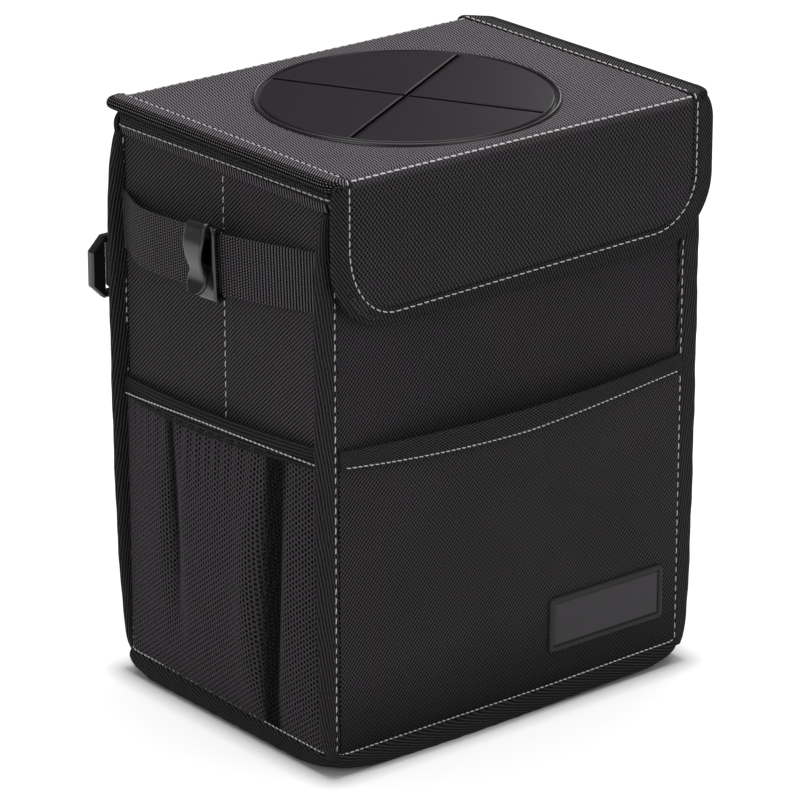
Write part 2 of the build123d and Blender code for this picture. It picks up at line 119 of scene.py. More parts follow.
class Skin:
    """Grids of points gathered into one mesh; a grid is (rows, columns, 3), or a stack of such grids."""

    def __init__(self):
        self.points, self.quads, self.uvs, self.count = [], [], [], 0

    def add(self, grid, uv, wrap=False):
        """Adds a grid and its texture coordinates; wrap joins the last column to the first, uv repeats it."""
        index = self.count + np.arange(grid[..., 0].size).reshape(grid.shape[:-1])
        if wrap:
            index = np.concatenate([index, index[..., :1]], -1)
        uv = np.broadcast_to(uv, (*index.shape, 2))
        low, high = slice(None, -1), slice(1, None)
        corners = [(low, low), (low, high), (high, high), (high, low)]
        self.quads.append(np.stack([index[..., a, b] for a, b in corners], -1).reshape(-1, 4))
        self.uvs.append(np.stack([uv[..., a, b, :] for a, b in corners], -2).reshape(-1, 4, 2))
        self.points.append(grid.reshape(-1, 3))
        self.count += grid[..., 0].size
        return self

    def slab(self, outer, inner, axes, wrap=False):
        """A closed sheet between two grids of the same shape; its texture is read off two axes."""
        uv = (closed(outer) if wrap else outer)[..., axes]
        self.add(outer, uv, wrap).add(inner, uv, wrap)
        for edge in (0, -1):
            self.add(np.stack([outer[edge], inner[edge]]), np.stack([uv[edge], uv[edge]]), wrap)
        if not wrap:
            for edge in (0, -1):
                self.add(np.stack([outer[:, edge], inner[:, edge]]), np.stack([uv[:, edge], uv[:, edge]]))
        return self

    def tube(self, grid, uv=None):
        """A closed profile carried along a path, its two ends drawn together to a point."""
        ends = [np.broadcast_to(row.mean(0), row.shape) for row in (grid[0], grid[-1])]
        uv = lengths(grid) if uv is None else uv
        grid = np.concatenate([ends[:1], grid, ends[1:]])
        return self.add(grid, np.concatenate([uv[:1], uv, uv[-1:]]), wrap=True)

    def hoop(self, grid, turned=False):
        """A closed profile carried round a closed path; turned where the rows run along the path."""
        grid = np.concatenate([grid, grid[:1]])
        uv = lengths(grid)
        return self.add(grid, uv if turned else uv[..., ::-1], wrap=True)

    def piece(self, name, body, slot, material, replaces=(), sharp=50.0):
        """Makes the mesh object: doubles merged, faces turned outward, and rides it on its body."""
        mesh = bpy.data.meshes.new(name)
        quads, points = np.concatenate(self.quads), np.concatenate(self.points) / 1000
        if body in ("lid", "flap") and name not in ("lid_cloth", "mouth_ring", "mouth_petals"):
            points[:, 0] += LID_SHIFT / 1000
        mesh.vertices.add(len(points))
        mesh.vertices.foreach_set("co", points.astype(np.float32).ravel())
        mesh.loops.add(quads.size)
        mesh.loops.foreach_set("vertex_index", quads.astype(np.int32).ravel())
        mesh.polygons.add(len(quads))
        mesh.polygons.foreach_set("loop_start", np.arange(0, quads.size, 4, dtype=np.int32))
        layer = mesh.uv_layers.new(name="UVMap")
        layer.data.foreach_set("uv", np.concatenate(self.uvs).astype(np.float32).ravel())
        mesh.update(calc_edges=True)
        shape = bmesh.new()
        shape.from_mesh(mesh)
        bmesh.ops.remove_doubles(shape, verts=shape.verts, dist=MERGE)
        bmesh.ops.recalc_face_normals(shape, faces=shape.faces)
        shape.to_mesh(mesh)
        shape.free()
        mesh.polygons.foreach_set("use_smooth", np.ones(len(mesh.polygons), bool))
        mesh.set_sharp_from_angle(angle=math.radians(sharp))
        made = bpy.data.objects.new(name, mesh)
        bpy.context.scene.collection.objects.link(made)
        mesh.materials.append(bpy.data.materials[material + "_finish"])
        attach(made, body)
        if replaces:
            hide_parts(*replaces)
        return made


def xyz(x, y, z):
    """Points from three coordinates, each an array or one number for all."""
    return np.stack(np.broadcast_arrays(x, y, z), -1)


def mesh_of(a, b):
    """Two parameters spread over a grid, the first along its rows."""
    return np.meshgrid(a, b, indexing="ij")


def closed(grid):
    """A grid or line of points with its first column or point again at the end."""
    return np.concatenate([grid, grid[..., :1, :]], -2)


def run(line):
    """Length along a line of points, from its start to each of them."""
    return np.insert(np.cumsum(np.linalg.norm(np.diff(line, axis=0), axis=1)), 0, 0)


def lengths(grid):
    """Texture coordinates of a grid of closed rows: length along the rows' path and length round a row."""
    loop = closed(grid)
    across = np.linalg.norm(np.diff(loop, axis=1), axis=2).mean(0)
    return np.stack(mesh_of(run(loop.mean(1)), np.insert(np.cumsum(across), 0, 0)), -1)


def smooth(x):
    """Smooth step from 0 to 1."""
    x = np.clip(x, 0, 1)
    return x * x * (3 - 2 * x)


def bump_at(x, middle, width):
    """A bell of height 1 about a middle."""
    return np.exp(-(((x - middle) / width) ** 2))


def dome(x, least=0.0):
    """Quarter of a circle: the root of 1 less x squared, from 1 at 0 down to 0 at 1."""
    return np.sqrt(np.clip(1 - np.clip(x, 0, 1) ** 2, least, 1))


def crown(x, half):
    """A parabola: 1 in the middle and 0 at both ends of a width."""
    return 1 - (x / half) ** 2


def ripple(a, b, seed=0.0):
    """Slow unevenness of sewn cloth, from -1 to 1: sines of two lengths whose waves never repeat together."""
    return (np.sin(a * 0.051 + 1.3 + seed) * np.cos(b * 0.043 - 0.7 + 2 * seed)
            + np.sin(a * 0.107 - b * 0.083 + 3 * seed) * 0.6
            + np.sin(a * 0.019 + b * 0.131 + 2.1 - seed) * 0.4) / 2


def ring(half_x, half_y, radius, corner=10, side=24):
    """Points round a rectangle with round corners, the same number for every size."""
    turns = (np.arange(4)[:, None] * 90 + np.linspace(0, 90, corner)[None]) * math.pi / 180
    middle = np.array([[1, 1], [-1, 1], [-1, -1], [1, -1]]) * [half_x - radius, half_y - radius]
    arcs = middle[:, None] + radius * np.stack([np.cos(turns), np.sin(turns)], -1)
    share = np.linspace(0, 1, side, endpoint=False)[1:, None]
    sides = arcs[:, -1, None] + share * (np.roll(arcs[:, 0], -1, 0) - arcs[:, -1])[:, None]
    return np.concatenate([arcs, sides], 1).reshape(-1, 2)


def around(half_x, half_y, radius, profile, **counts):
    """A profile of (out, up) points carried round a rectangle: rows are profile points, columns go round."""
    loops = [ring(half_x + out, half_y + out, max(radius + out, 0.3), **counts) for out, up in profile]
    return np.stack([np.insert(loop, 2, up, axis=1) for loop, (out, up) in zip(loops, profile)])


def carry(profile, path, across, out):
    """A profile of (a, b) points carried along a path: each lies at path + a times across + b times out."""
    across, out = (np.broadcast_to(side, path.shape)[:, None] for side in (across, out))
    return path[:, None] + profile[:, :1] * across + profile[:, 1:] * out


def rounded_path(points, radius, step):
    """A polyline with its corners rounded by quadratic curves, resampled at an even step."""
    points = np.asarray(points, float)
    line = [points[:1]]
    t = np.linspace(0, 1, 13)[:, None]
    for before, corner, after in zip(points, points[1:], points[2:]):
        leg_in, leg_out = before - corner, after - corner
        size_in, size_out = np.linalg.norm(leg_in), np.linalg.norm(leg_out)
        reach = min(radius, size_in / 2.05, size_out / 2.05)
        a, c = corner + leg_in / size_in * reach, corner + leg_out / size_out * reach
        line.append(a * (1 - t) ** 2 + corner * 2 * t * (1 - t) + c * t * t)
    return resample(np.concatenate([*line, points[-1:]]), step)


def resample(line, step):
    """Points of a line at an even step near the one asked for."""
    line = np.asarray(line, float)
    line = line[np.insert(np.linalg.norm(np.diff(line, axis=0), axis=1) > 1e-9, 0, True)]
    far = run(line)
    at = np.linspace(0, far[-1], max(2, int(round(far[-1] / step)) + 1))
    return np.stack([np.interp(at, far, line[:, k]) for k in range(line.shape[1])], -1)


def heading(line):
    """Unit tangents of a line of points."""
    t = np.gradient(line, axis=0)
    return t / np.linalg.norm(t, axis=1, keepdims=True)


def arc(start, end, count):
    """Cosine and sine of evenly spaced angles between two, in degrees."""
    turn = np.radians(np.linspace(start, end, count))
    return np.stack([np.cos(turn), np.sin(turn)], -1)


def fold_profile(width, half, groove, taper=0.0):
    """Tape folded over an edge: a runs from its open edge to the fold, b is thickness, less a sewn groove."""
    a0 = width - 1.6 * half
    a = np.concatenate([np.linspace(0, a0, 15), a0 + (width - a0) * np.sin(np.linspace(0, QUARTER, 8))[1:]])
    swell = 1 + 0.1 * np.sin(np.clip(a / a0, 0, 1) * math.pi)
    half = half * (1 - taper * smooth((a - 2.0) / (width / 2)))
    b = half * dome((a - a0) / (width - a0)) * swell
    b = b - 0.25 * bump_at(a, groove, 0.8) - 0.18 * bump_at(a, 0, 0.5)
    return np.concatenate([np.stack([a, b], -1), np.stack([a, -b], -1)[-2::-1]])


def strip_profile(width, half, points, ridges=0, ridge=0.0):
    """A flat strip with round edges; ridges run along it on both faces."""
    a = np.linspace(-1, 1, points) * (width / 2 - half)
    b = half + ridge * np.cos(np.linspace(0, ridges * TURN, points)) - ridge
    edge = half * arc(90, -90, 7)[1:-1] + [width / 2 - half, 0]
    return np.concatenate([np.stack([a, b], -1), edge, np.stack([a, -b], -1)[::-1], -edge])


class Socket:
    """One output of a shader node. Arithmetic on it adds Math nodes, also with a plain number on the left."""

    def __init__(self, tree, output):
        self.tree, self.output = tree, output

    def node(self, kind, settings, values, output=0):
        """Adds a node: its settings by name, then its inputs' values or links by name or place."""
        made = self.tree.nodes.new("ShaderNode" + kind)
        for key, value in settings.items():
            setattr(made, key, value)
        for key, value in values.items():
            if isinstance(value, Socket):
                self.tree.links.new(value.output, made.inputs[key])
            else:
                made.inputs[key].default_value = value
        return Socket(self.tree, made.outputs[output])

    def other(self, output):
        """Another output of the same node."""
        return Socket(self.tree, self.output.node.outputs[output])

    def math(self, operation, *values):
        """A Math node on this and any further values."""
        return self.node("Math", {"operation": operation}, dict(enumerate((self, *values))))

    def __add__(self, other):
        return self.math("ADD", other)

    def __sub__(self, other):
        return self.math("SUBTRACT", other)

    def __rsub__(self, other):
        return self.node("Math", {"operation": "SUBTRACT"}, {0: other, 1: self})

    def __mul__(self, other):
        return self.math("MULTIPLY", other)

    def __truediv__(self, other):
        return self.math("DIVIDE", other)

    __radd__, __rmul__ = __add__, __mul__

    def wave(self):
        """Cosine of a number of turns, from -1 to 1."""
        return (self * TURN).math("COSINE")

    def clip(self):
        """The number held between 0 and 1."""
        return self.node("Clamp", {}, {"Value": self})

    def mix(self, dark, light):
        """Colour between two, by this number."""
        dark, light = (c if isinstance(c, Socket) else (*c, 1) for c in (dark, light))
        return self.node("Mix", {"data_type": "RGBA"}, {0: self, 6: dark, 7: light}, 2)


class Finish:
    """A material whose patterns are drawn in millimetres on the texture coordinates."""

    def __init__(self, name, coords="uv"):
        self.material = bpy.data.materials.new(name + "_finish")
        self.material.use_nodes = True
        self.tree = self.material.node_tree
        self.shader = self.tree.nodes["Principled BSDF"]
        start = Socket(self.tree, None)
        if coords == "uv":
            self.place = start.node("UVMap", {"uv_map": "UVMap"}, {})
        else:
            object_place = start.node("TexCoord", {}, {}, "Object")
            self.place = start.node("VectorMath", {"operation": "SCALE"}, {0: object_place, "Scale": 1000.0})
        self.u, self.v = (start.node("SeparateXYZ", {}, {0: self.place}, k) for k in range(2))

    def noise(self, scale, detail=2.0, stretch=(1, 1, 1)):
        """Noise from -0.5 to 0.5; scale is in cells to a millimetre."""
        place = self.place.node("VectorMath", {"operation": "MULTIPLY"}, {0: self.place, 1: stretch})
        return self.place.node("TexNoise", {}, {"Vector": place, "Scale": scale, "Detail": detail}) - 0.5

    def ribs(self, waves, shift=0.0):
        """A sum of cosines: each wave has its turns to a millimetre along u and v, and its share."""
        total = 0.0
        for along, across, share in waves:
            total = (self.u * along + self.v * across + shift).wave() * share + total
        return total

    def finish(self, colour, height, depth, roughness=0.85, **values):
        """Links the colour, roughness and bump; depth is the bump's height in millimetres."""
        links, inputs = self.tree.links, self.shader.inputs
        links.new(colour.output, inputs["Base Color"])
        if isinstance(roughness, Socket):
            links.new(roughness.output, inputs["Roughness"])
        else:
            inputs["Roughness"].default_value = roughness
        bump = height.node("Bump", {}, {"Height": height, "Distance": depth / 1000, "Strength": 1.0})
        links.new(bump.output, inputs["Normal"])
        for key, value in values.items():
            inputs[key.replace("_", " ")].default_value = value


def grey(level, tint=0.09):
    """A linear grey, slightly towards violet as the black cloth in the photo is."""
    return (level, level * (1 - tint), level)


def woven_cloth(name, level, waves, contrast, depth, fold):
    """Cloth with slanting ribs: a sum of cosines, with uneven yarn, slow wear, and for some finishes a band
    of another level blended in between two heights: painted shade on the front, a painted highlight on the
    flap.
    """
    f = Finish(name)
    pattern = f.ribs(waves)
    yarn = f.noise(1.1, 3.0)
    tone = (0.5 + pattern * contrast + yarn * 0.5 + f.noise(0.02) * 0.3).clip()
    colour = tone.mix(grey(level * 0.08), grey(level * 2.0))
    # Painted light and shade: between two heights the colour blends into a band of another level, darker on
    # the front, paler on the flap.
    if fold:
        start, end, painted_band_level = fold
        folded = tone.mix(grey(painted_band_level * 0.3), grey(painted_band_level * 1.7))
        colour = ((f.v - start) / (end - start)).clip().mix(colour, folded)
    f.finish(colour, pattern + yarn * 0.5, depth, roughness=0.92 - 0.15 * tone, Specular_IOR_Level=0.12)


def ribbed_tape(name, level, waves, contrast, fold=None, edge=0.0, base=0.42):
    """Binding tape: slanting ribs, which turn into rows of pin dots past the width where it folds over.

    A dot is the product of a rib and a row where both are above 0. Up to its open edge the tape is darkened:
    painted shade where it meets the cloth.
    """
    f = Finish(name)
    row = 1.28
    yarn = f.noise(0.9, 3.0)
    pattern = ribs = f.ribs(waves, yarn * 0.2)
    if fold:
        rows = (f.v / row).wave()
        dots = ribs.math("MAXIMUM", 0.0) * rows.math("MAXIMUM", 0.0) * 2.3 - 0.32
        pattern = ribs + (dots - ribs) * ((f.v - fold) * 1.5).clip()
    tone = (base + contrast * pattern + yarn * 0.45).clip()
    # Painted shade: the tape is darkened along its open edge, where it meets the cloth.
    if edge:
        tone = tone * ((f.v - edge) * 1.6).clip()
    f.finish(tone.mix(grey(level * 0.03), grey(level / base)), pattern, 0.2,
             roughness=0.92 - 0.15 * tone, Specular_IOR_Level=0.1)


def strap_webbing(name, level):
    """Webbing: columns of small beads; towards its sewn start every second column parts into a dark gap."""
    f = Finish(name)
    column_pitch, bead_pitch = 1.48, 1.2
    yarn = f.noise(1.3, 3.0)
    column = (f.u / column_pitch + yarn * 0.1).wave()
    bead = (f.v / bead_pitch + (f.u / (2 * column_pitch)).wave() * 0.25).wave()
    parted = (1.2 - f.u / 38.0).clip()
    pattern = column * (0.65 + 0.5 * parted) + bead * (0.6 - 0.35 * parted)
    tone = (0.2 + 1.2 * pattern + yarn * 0.5).clip()
    f.finish(tone.mix(grey(level * 0.03), grey(level * 4.2)), pattern, 0.35,
             roughness=0.9 - 0.15 * tone, Specular_IOR_Level=0.15)


def moulded(name, level, roughness, speck=0.25, coords="uv", tint=0.09, gloss=0.25):
    """Moulded rubber or plastic: a fine even grain, with faint streaks where hands wipe it."""
    f = Finish(name, coords)
    grain = f.noise(6.0)
    streak = f.noise(0.08, 3.0, (1, 0.25, 1))
    tone = (0.5 + grain * speck + streak * 0.5).clip()
    f.finish(tone.mix(grey(level * 0.7, tint), grey(level * 1.3, tint)), grain, 0.02,
             roughness=roughness + streak * 0.12, Specular_IOR_Level=gloss)


def plain_fibre(name, level, pitch, depth, contrast, roughness=0.85):
    """Small fibres or pile on a fine grid, uneven in height."""
    f = Finish(name)
    tuft = (f.u / pitch).wave() * (f.v / pitch).wave()
    loose = f.noise(1.6, 3.0)
    tone = (0.5 + tuft * 0.5 * contrast + loose * 0.8).clip()
    f.finish(tone.mix(grey(level * 0.4), grey(level * 1.7)), tuft + loose * 1.5, depth, roughness=roughness,
             Specular_IOR_Level=0.15)


def creased_net(name, level):
    """Net yarn, with painted shade along the two creases where the net doubles over itself."""
    f = Finish(name)
    loose = f.noise(1.6, 3.0)
    # Painted shade: dark bands along the near crease, which leans with height, and along the far crease from
    # 25 mm up.
    near = 1.6 - (f.u - CREASE_NEAR - f.v * (CREASE_LEAN / NET_HEIGHT)).math("ABSOLUTE") / 4.2
    far = (0.9 - (f.u - CREASE_FAR).math("ABSOLUTE") / 5.0) * ((f.v - 25.0) / 60.0).clip()
    painted_crease_shade = near.clip().math("MAXIMUM", far.clip())
    tone = (0.55 + loose * 0.9 - 0.75 * painted_crease_shade).clip()
    f.finish(tone.mix(grey(level * 0.08), grey(level * 1.7)), loose, 0.08, Specular_IOR_Level=0.15)


def twisted_thread(name, level):
    """Pale sewing thread: two plies twisted round each other, a little soiled."""
    f = Finish(name)
    ply = (f.u / 0.55 + f.v * 0.9).wave()
    tone = (0.62 + ply * 0.2 + f.noise(0.35) * 0.5).clip()
    f.finish(tone.mix(grey(level * 0.75, 0.02), grey(level * 1.06, 0.02)), ply, 0.08, roughness=0.7)


def make_materials(look):
    """All finishes, named for what they are made of."""
    for name, level, waves, contrast, depth, fold in (
            # The front's band darkens it from 44 mm down to 4 mm: painted shade towards the floor.
            ("front_twill", 0.039, [(-0.555, 0.47, 0.68), (0.53, 0.483, 0.3)], 0.95, 0.12, (44, 4, 0.014)),
            ("side_twill", 0.052, [(0.495, 0.532, 0.66), (-0.441, 0.532, 0.5)], 1.05, 0.2, None),
            # Partly painted light: the lid is given well over twice the front's level for the light falling
            # on it from above.
            ("lid_twill", 0.096, [(0.7, -0.22, 0.7), (0.77, -0.52, 0.35)], 1.05, 0.1, None),
            # The flap's band is paler over its rounded top bend: a painted highlight, near the lid cloth's
            # level.
            ("flap_weave", 0.041, [(0.535, 0.41, 0.4), (-0.535, 0.405, 0.36), (0.535, 0.82, 0.24)], 1.25, 0.2,
             (LID_MIDDLE - 2.5, LID_MIDDLE + 1.0, 0.09)),
            ("base_cloth", 0.030, [(0.5, 0.0, 0.5), (0.0, 0.5, 0.5)], 0.4, 0.06, None)):
        woven_cloth(name, level * look.cloth, waves, contrast, depth, fold)
    plain_fibre("lining_cloth", 0.05, 0.8, 0.03, contrast=0.3, roughness=0.6)
    for name, level, waves, contrast, extra in (
            # The left lid tape is given a far higher level than its mirror copy on the right: painted light
            # on the lit left side.
            ("left_lid_tape", 0.072, [(0.705, -0.56, 1.0)], 1.0, {"fold": 6.2, "edge": 0.5, "base": 0.26}),
            ("right_lid_tape", 0.042, [(0.705, 0.56, 1.0)], 0.85, {"fold": 6.2, "edge": 0.5, "base": 0.35}),
            ("binding_tape", 0.036, [(0.62, 0.83, 0.65), (0.225, -0.926, 0.45)], 0.5, {}),
            # The rim tape's level is raised to lighten its upper face, which lies in shade under the lid:
            # partly painted light.
            ("rim_tape", 0.062, [(0.63, 0.145, 1.0)], 0.75, {"fold": 3.6, "base": 0.35}),
            ("flap_tape", 0.036, [(0.68, 0.47, 1.0)], 0.36, {}),
            ("seam_tape", 0.037, [(-0.12, 0.75, 1.0)], 0.34, {}),
            ("base_tape", 0.027, [(0.24, -0.8, 1.0)], 0.3, {}),
            ("elastic_hem", 0.028, [(0.0, 0.62, 1.0)], 0.25, {})):
        ribbed_tape(name, level * look.tape, waves, contrast, **extra)
    strap_webbing("webbing", 0.043)
    creased_net("net_yarn", 0.073)
    plain_fibre("hook_pile", 0.02, 1.1, 0.5, contrast=0.9)
    plain_fibre("loop_pile", 0.026, 1.7, 0.4, contrast=0.4)
    moulded("satin_rubber", 0.012, 0.38, tint=0.4)
    moulded("ring_rubber", 0.012, 0.32, tint=0.4, gloss=0.8)
    moulded("patch_rubber", 0.055, 0.5)
    moulded("patch_frame", 0.024, 0.5)
    for name, coords in (("gloss_plastic", "uv"), ("gloss_plastic_solid", "object")):
        moulded(name, 0.012, 0.2, speck=0.1, coords=coords, gloss=0.9)
    twisted_thread("pale_thread", look.thread_grey)


def front_bow(x, z):
    """How far the front pocket stands off the wall: a power of the height, times a crown across."""
    foot = 48
    rise = np.clip((z - foot) / (POCKET_TOP - foot), 0, 1)
    return 8.0 * rise ** 1.55 * crown(x, SPAN_X)


def pocket_tape_width(x):
    """How much wider than at its ends the pocket's tape is: more towards its middle and its left."""
    return (2.9 - 3.6 * np.clip(x / SPAN_X, 0, 1)) * crown(x, SPAN_X)


def net_bow(y, rise):
    """How far a net stands off its wall: a crown, widest half way up, less two folds pulled in by the hem."""
    belly = np.sin(math.pi * rise)
    bow = 0.6 + 1.9 * smooth(rise / 0.15) + 5.5 * rise + 3.75 * belly
    sweep = CREASE_NEAR + CREASE_LEAN * rise
    folds = (8.5 * bump_at(y, sweep, 5.5) + 5.0 * bump_at(y, CREASE_FAR, 6) * smooth(rise / 0.6)
             - 2.5 * bump_at(y, sweep + 12, 7))
    gathers = 0.45 * np.sin(y * TURN / 7.3 + 1.5 * np.sin(y / 9)) * smooth((rise - 0.72) / 0.28)
    return crown(y, INNER_Y) * (bow - belly * folds + gathers)


def seam_reach(z, drop):
    """How far a seam's fold stands past the wall: drawn in to the base along a long curve, and to the rim."""
    foot = drop * np.exp(-(z - BAND_TOP) / 42) + 2.4 * np.exp(-(z - BAND_TOP) / 4)
    return SEAM_X - WALL_X - foot - 4.6 * np.exp(-(RIM_LOW[2] - z) / 11)


def base_rise(x, y):
    """How much higher the base tape's edge is sewn towards the back and the front's right corner."""
    back = smooth((y + WALL_Y) / (2 * WALL_Y))
    return 1.9 * back + 1.2 * (1 - back) * smooth(x / WALL_X)


def mouth_sag(x, y):
    """How far the lid gives way under the rubber mouth: a little all over, more towards its front left."""
    return -1.2 + 0.016 * ((x - DISC_X) * 0.63 + (y - DISC_Y) * 0.777)


def wall_grids():
    """Outer faces of the four walls: flat boards under cloth, swelling a little between their seams."""
    z = np.linspace(WALL_FOOT, RIM_HIGH[2] - 3, 61)
    zz, xx = mesh_of(z, np.linspace(-SPAN_X - 1.5, SPAN_X + 1.5, 61))
    below_rim = RIM_LOW[2] - zz
    swell = (0.5 + 0.3 * ripple(xx, zz)) * smooth((zz - 130) / 25) * smooth(below_rim / 20)
    front = xyz(xx, -WALL_Y + 0.1 - crown(xx, SPAN_X) * swell, zz)
    swell = (0.4 + 0.3 * ripple(xx, zz, 1.7)) * smooth((zz - 12) / 30)
    back = xyz(xx, WALL_Y - 0.1 + crown(xx, SPAN_X) * swell, zz)
    zz, yy = mesh_of(z, np.linspace(-INNER_Y - 1.5, INNER_Y + 1.5, 61))
    waves = np.sin(np.clip(np.abs(yy) / INNER_Y, 0, 1) * math.pi) * (0.9 + 0.3 * ripple(yy, zz, 0.6))
    swell = (waves - 0.5 * bump_at(yy, 0, 2.5)) * smooth((zz - 60) / 60) * smooth(below_rim / 25)
    left = xyz(-WALL_X + 0.2 - swell, yy, zz)
    return {"front": front, "back": back, "left": left, "right": left * [-1, 1, 1]}


def build_walls():
    """Cloth-covered boards, base cloth and lining bag."""
    inward = {"front": [0, BOARD, 0], "back": [0, -BOARD, 0], "left": [BOARD, 0, 0], "right": [-BOARD, 0, 0]}
    for side, outer in wall_grids().items():
        across = 0 if side in ("front", "back") else 1
        node = f"{side}_panel" if across == 0 else f"{side}_side_panel"
        cloth = "front_twill" if across == 0 else "side_twill"
        skin = Skin().slab(outer, outer + inward[side], [across, 2])
        made = skin.piece(f"{side}_wall", "bin", cloth, cloth, [node])

    y, x = mesh_of(np.linspace(-1, 1, 41), np.linspace(-1, 1, 51))
    lift = 0.5 * (1 - x ** 4) * (1 - y ** 4) * (0.8 + 0.4 * ripple(x * 80, y * 60))
    half_x, half_y = WALL_X - 6.2, WALL_Y - 6.2
    under = xyz(x * half_x, y * half_y, 0.15 + lift)
    skin = Skin().slab(under, under + [0, 0, 3.6], [0, 1])
    made = skin.piece("base_cloth", "bin", "base_fabric", "base_cloth", ["base_panel"])
    2 * half_x / 1000
    2 * half_y / 1000

    rim, floor, bend = RIM_LOW[2] + 2, WALL_FOOT + 0.6, 5
    slack = -0.15 - 0.5 * np.sin(np.linspace(0, math.pi, 22))
    wall = np.stack([slack, np.linspace(rim, floor + bend, 22)], -1)
    profile = np.concatenate([wall, [-0.15 - bend, floor + bend] + bend * arc(0, -90, 6)[1:]])
    sheet = around(INNER_X, INNER_Y, 4.0, profile, corner=8, side=30)
    inward = np.linspace(1, 0, 18)[1:, None, None]
    floor_rows = sheet[-1] * [1, 1, 0] * inward + [0, 0, sheet[-1, 0, 2]]
    floor_rows[..., 2] += 0.3 * (1 - inward[..., 0]) * ripple(floor_rows[..., 0], floor_rows[..., 1], 0.4)
    outer = np.concatenate([sheet, floor_rows])
    inner = outer * [1 - LINING / INNER_X, 1 - LINING / INNER_Y, 1]
    inner[len(wall):, :, 2] += LINING
    uv = lengths(outer)
    uv[..., 0] = run(outer[:, 0])[:, None]
    uv = uv[..., ::-1]
    skin = Skin().add(outer, uv, wrap=True).add(inner, uv, wrap=True)
    skin.add(np.stack([outer[0], inner[0]]), np.stack([uv[0], uv[0]]), wrap=True)
    made = skin.piece("lining_bag", "bin", "lining", "lining_cloth", ["inner_liner"])
    round_it = 2 * (2 * INNER_X + 2 * INNER_Y - 14) / 1000
    deep = (rim - floor) / 1000
    area = round_it * deep + 4 * INNER_X * INNER_Y / 1e6
    deep + INNER_Y / 1000


def build_bindings():
    """Rolled base band, rim tape and the four upright seams."""
    reach, top = BAND_HIGH[0] - WALL_X, BAND_TOP + 1.0
    roll = np.array([(-0.4, top - 0.6), (0.5, top), (1.8, top - 0.1), (3.1, top - 1.0), (4.1, top - 2.8),
                     (reach, 4.9), (4.5, 3.1), (3.6, 1.8), (2.2, 0.9), (0.4, 0.4), (-2.0, 0.1), (-6.0, 0.0),
                     (-6.1, 0.7), (-5.6, 1.3), (-0.6, 1.4)])
    profile = resample(closed(roll), 0.9)[:-1]
    band = around(WALL_X, WALL_Y, 8.0, profile, corner=14, side=70)
    far = lengths(band)[0, :-1, 1]
    ruck = 0.16 * np.sin(far * TURN / 11) + 0.12 * np.sin(far * TURN / 6.3 + 1)
    middle = band * [1, 1, 0]
    outward = middle / np.linalg.norm(middle, axis=-1, keepdims=True)
    band += outward * (ruck[None, :, None] * smooth((profile[:, 0] - 1) / 2)[:, None, None])
    along = np.clip(band[..., 0] / WALL_X, -1, 1)
    fuller = 2.1 * (1 - along ** 2) * (1 - along) - smooth(along + 0.3)
    fuller = fuller * smooth((profile[:, 0] + 0.4) / 3)[:, None]
    band[..., 1] -= fuller * (band[..., 1] < -WALL_Y / 2)
    corner = smooth((abs(band[..., 0]) - WALL_X + 22) / 26) * smooth((abs(band[..., 1]) - WALL_Y + 22) / 26)
    tuck = 5.5 * corner * np.clip(1 - band[..., 2] / (top - 2), 0, 1) ** 1.4
    band[..., :2] -= tuck[..., None] * np.sign(band[..., :2])
    band[..., 2] += base_rise(band[..., 0], band[..., 1]) * smooth(band[..., 2] / top)
    Skin().hoop(band).piece("base_roll", "bin", "binding_tape", "base_tape", ["base_binding"])

    low, high, proud, inner = RIM_LOW[2], RIM_HIGH[2], RIM_HIGH[0] - WALL_X, -4.0
    fold = np.array([(0.35, low), (proud, low + 0.4), (proud + 0.1, low + 2.8), (proud - 0.15, low + 4.4),
                     (proud + 0.1, low + 6.2), (proud, high - 1.8), (proud - 0.9, high - 0.4), (-0.6, high),
                     (inner + 1.6, high), (inner + 0.3, high - 0.7), (inner, high - 2.2), (inner, low + 1),
                     (inner + 0.8, low), (-0.5, low + 0.5)])
    band = around(WALL_X, WALL_Y, 3.0, resample(closed(fold), 0.7)[:-1], corner=8, side=60)
    Skin().hoop(band).piece("rim_tape", "bin", "binding_tape", "rim_tape", ["rim_binding"])

    z = np.linspace(BAND_TOP - 0.8, RIM_LOW[2] + 0.8, 90)
    tape = 9.0
    for side_x, name_x in reversed(SIDES):
        for side_y, name_y in ((-1, "front"), (1, "back")):
            start = SPAN_X + (1.6 if side_x < 0 else 0.0)
            width = WALL_X + seam_reach(z, 2.7 if side_y < 0 else 6.0) - start
            sway = 0.18 * np.sin(z * TURN / 37 + side_x) + 0.1 * np.sin(z * TURN / 13 + side_y)
            path = xyz(side_x * start, side_y * (SEAM_Y + sway), z)
            grid = carry(fold_profile(tape, 2.0, 1.6), path, xyz(side_x * width / tape, 0, 0), [0, side_y, 0])
            corner = f"{name_y}_{name_x}_seam"
            Skin().tube(grid).piece(f"{corner}_tape", "bin", "binding_tape", "seam_tape", [corner])


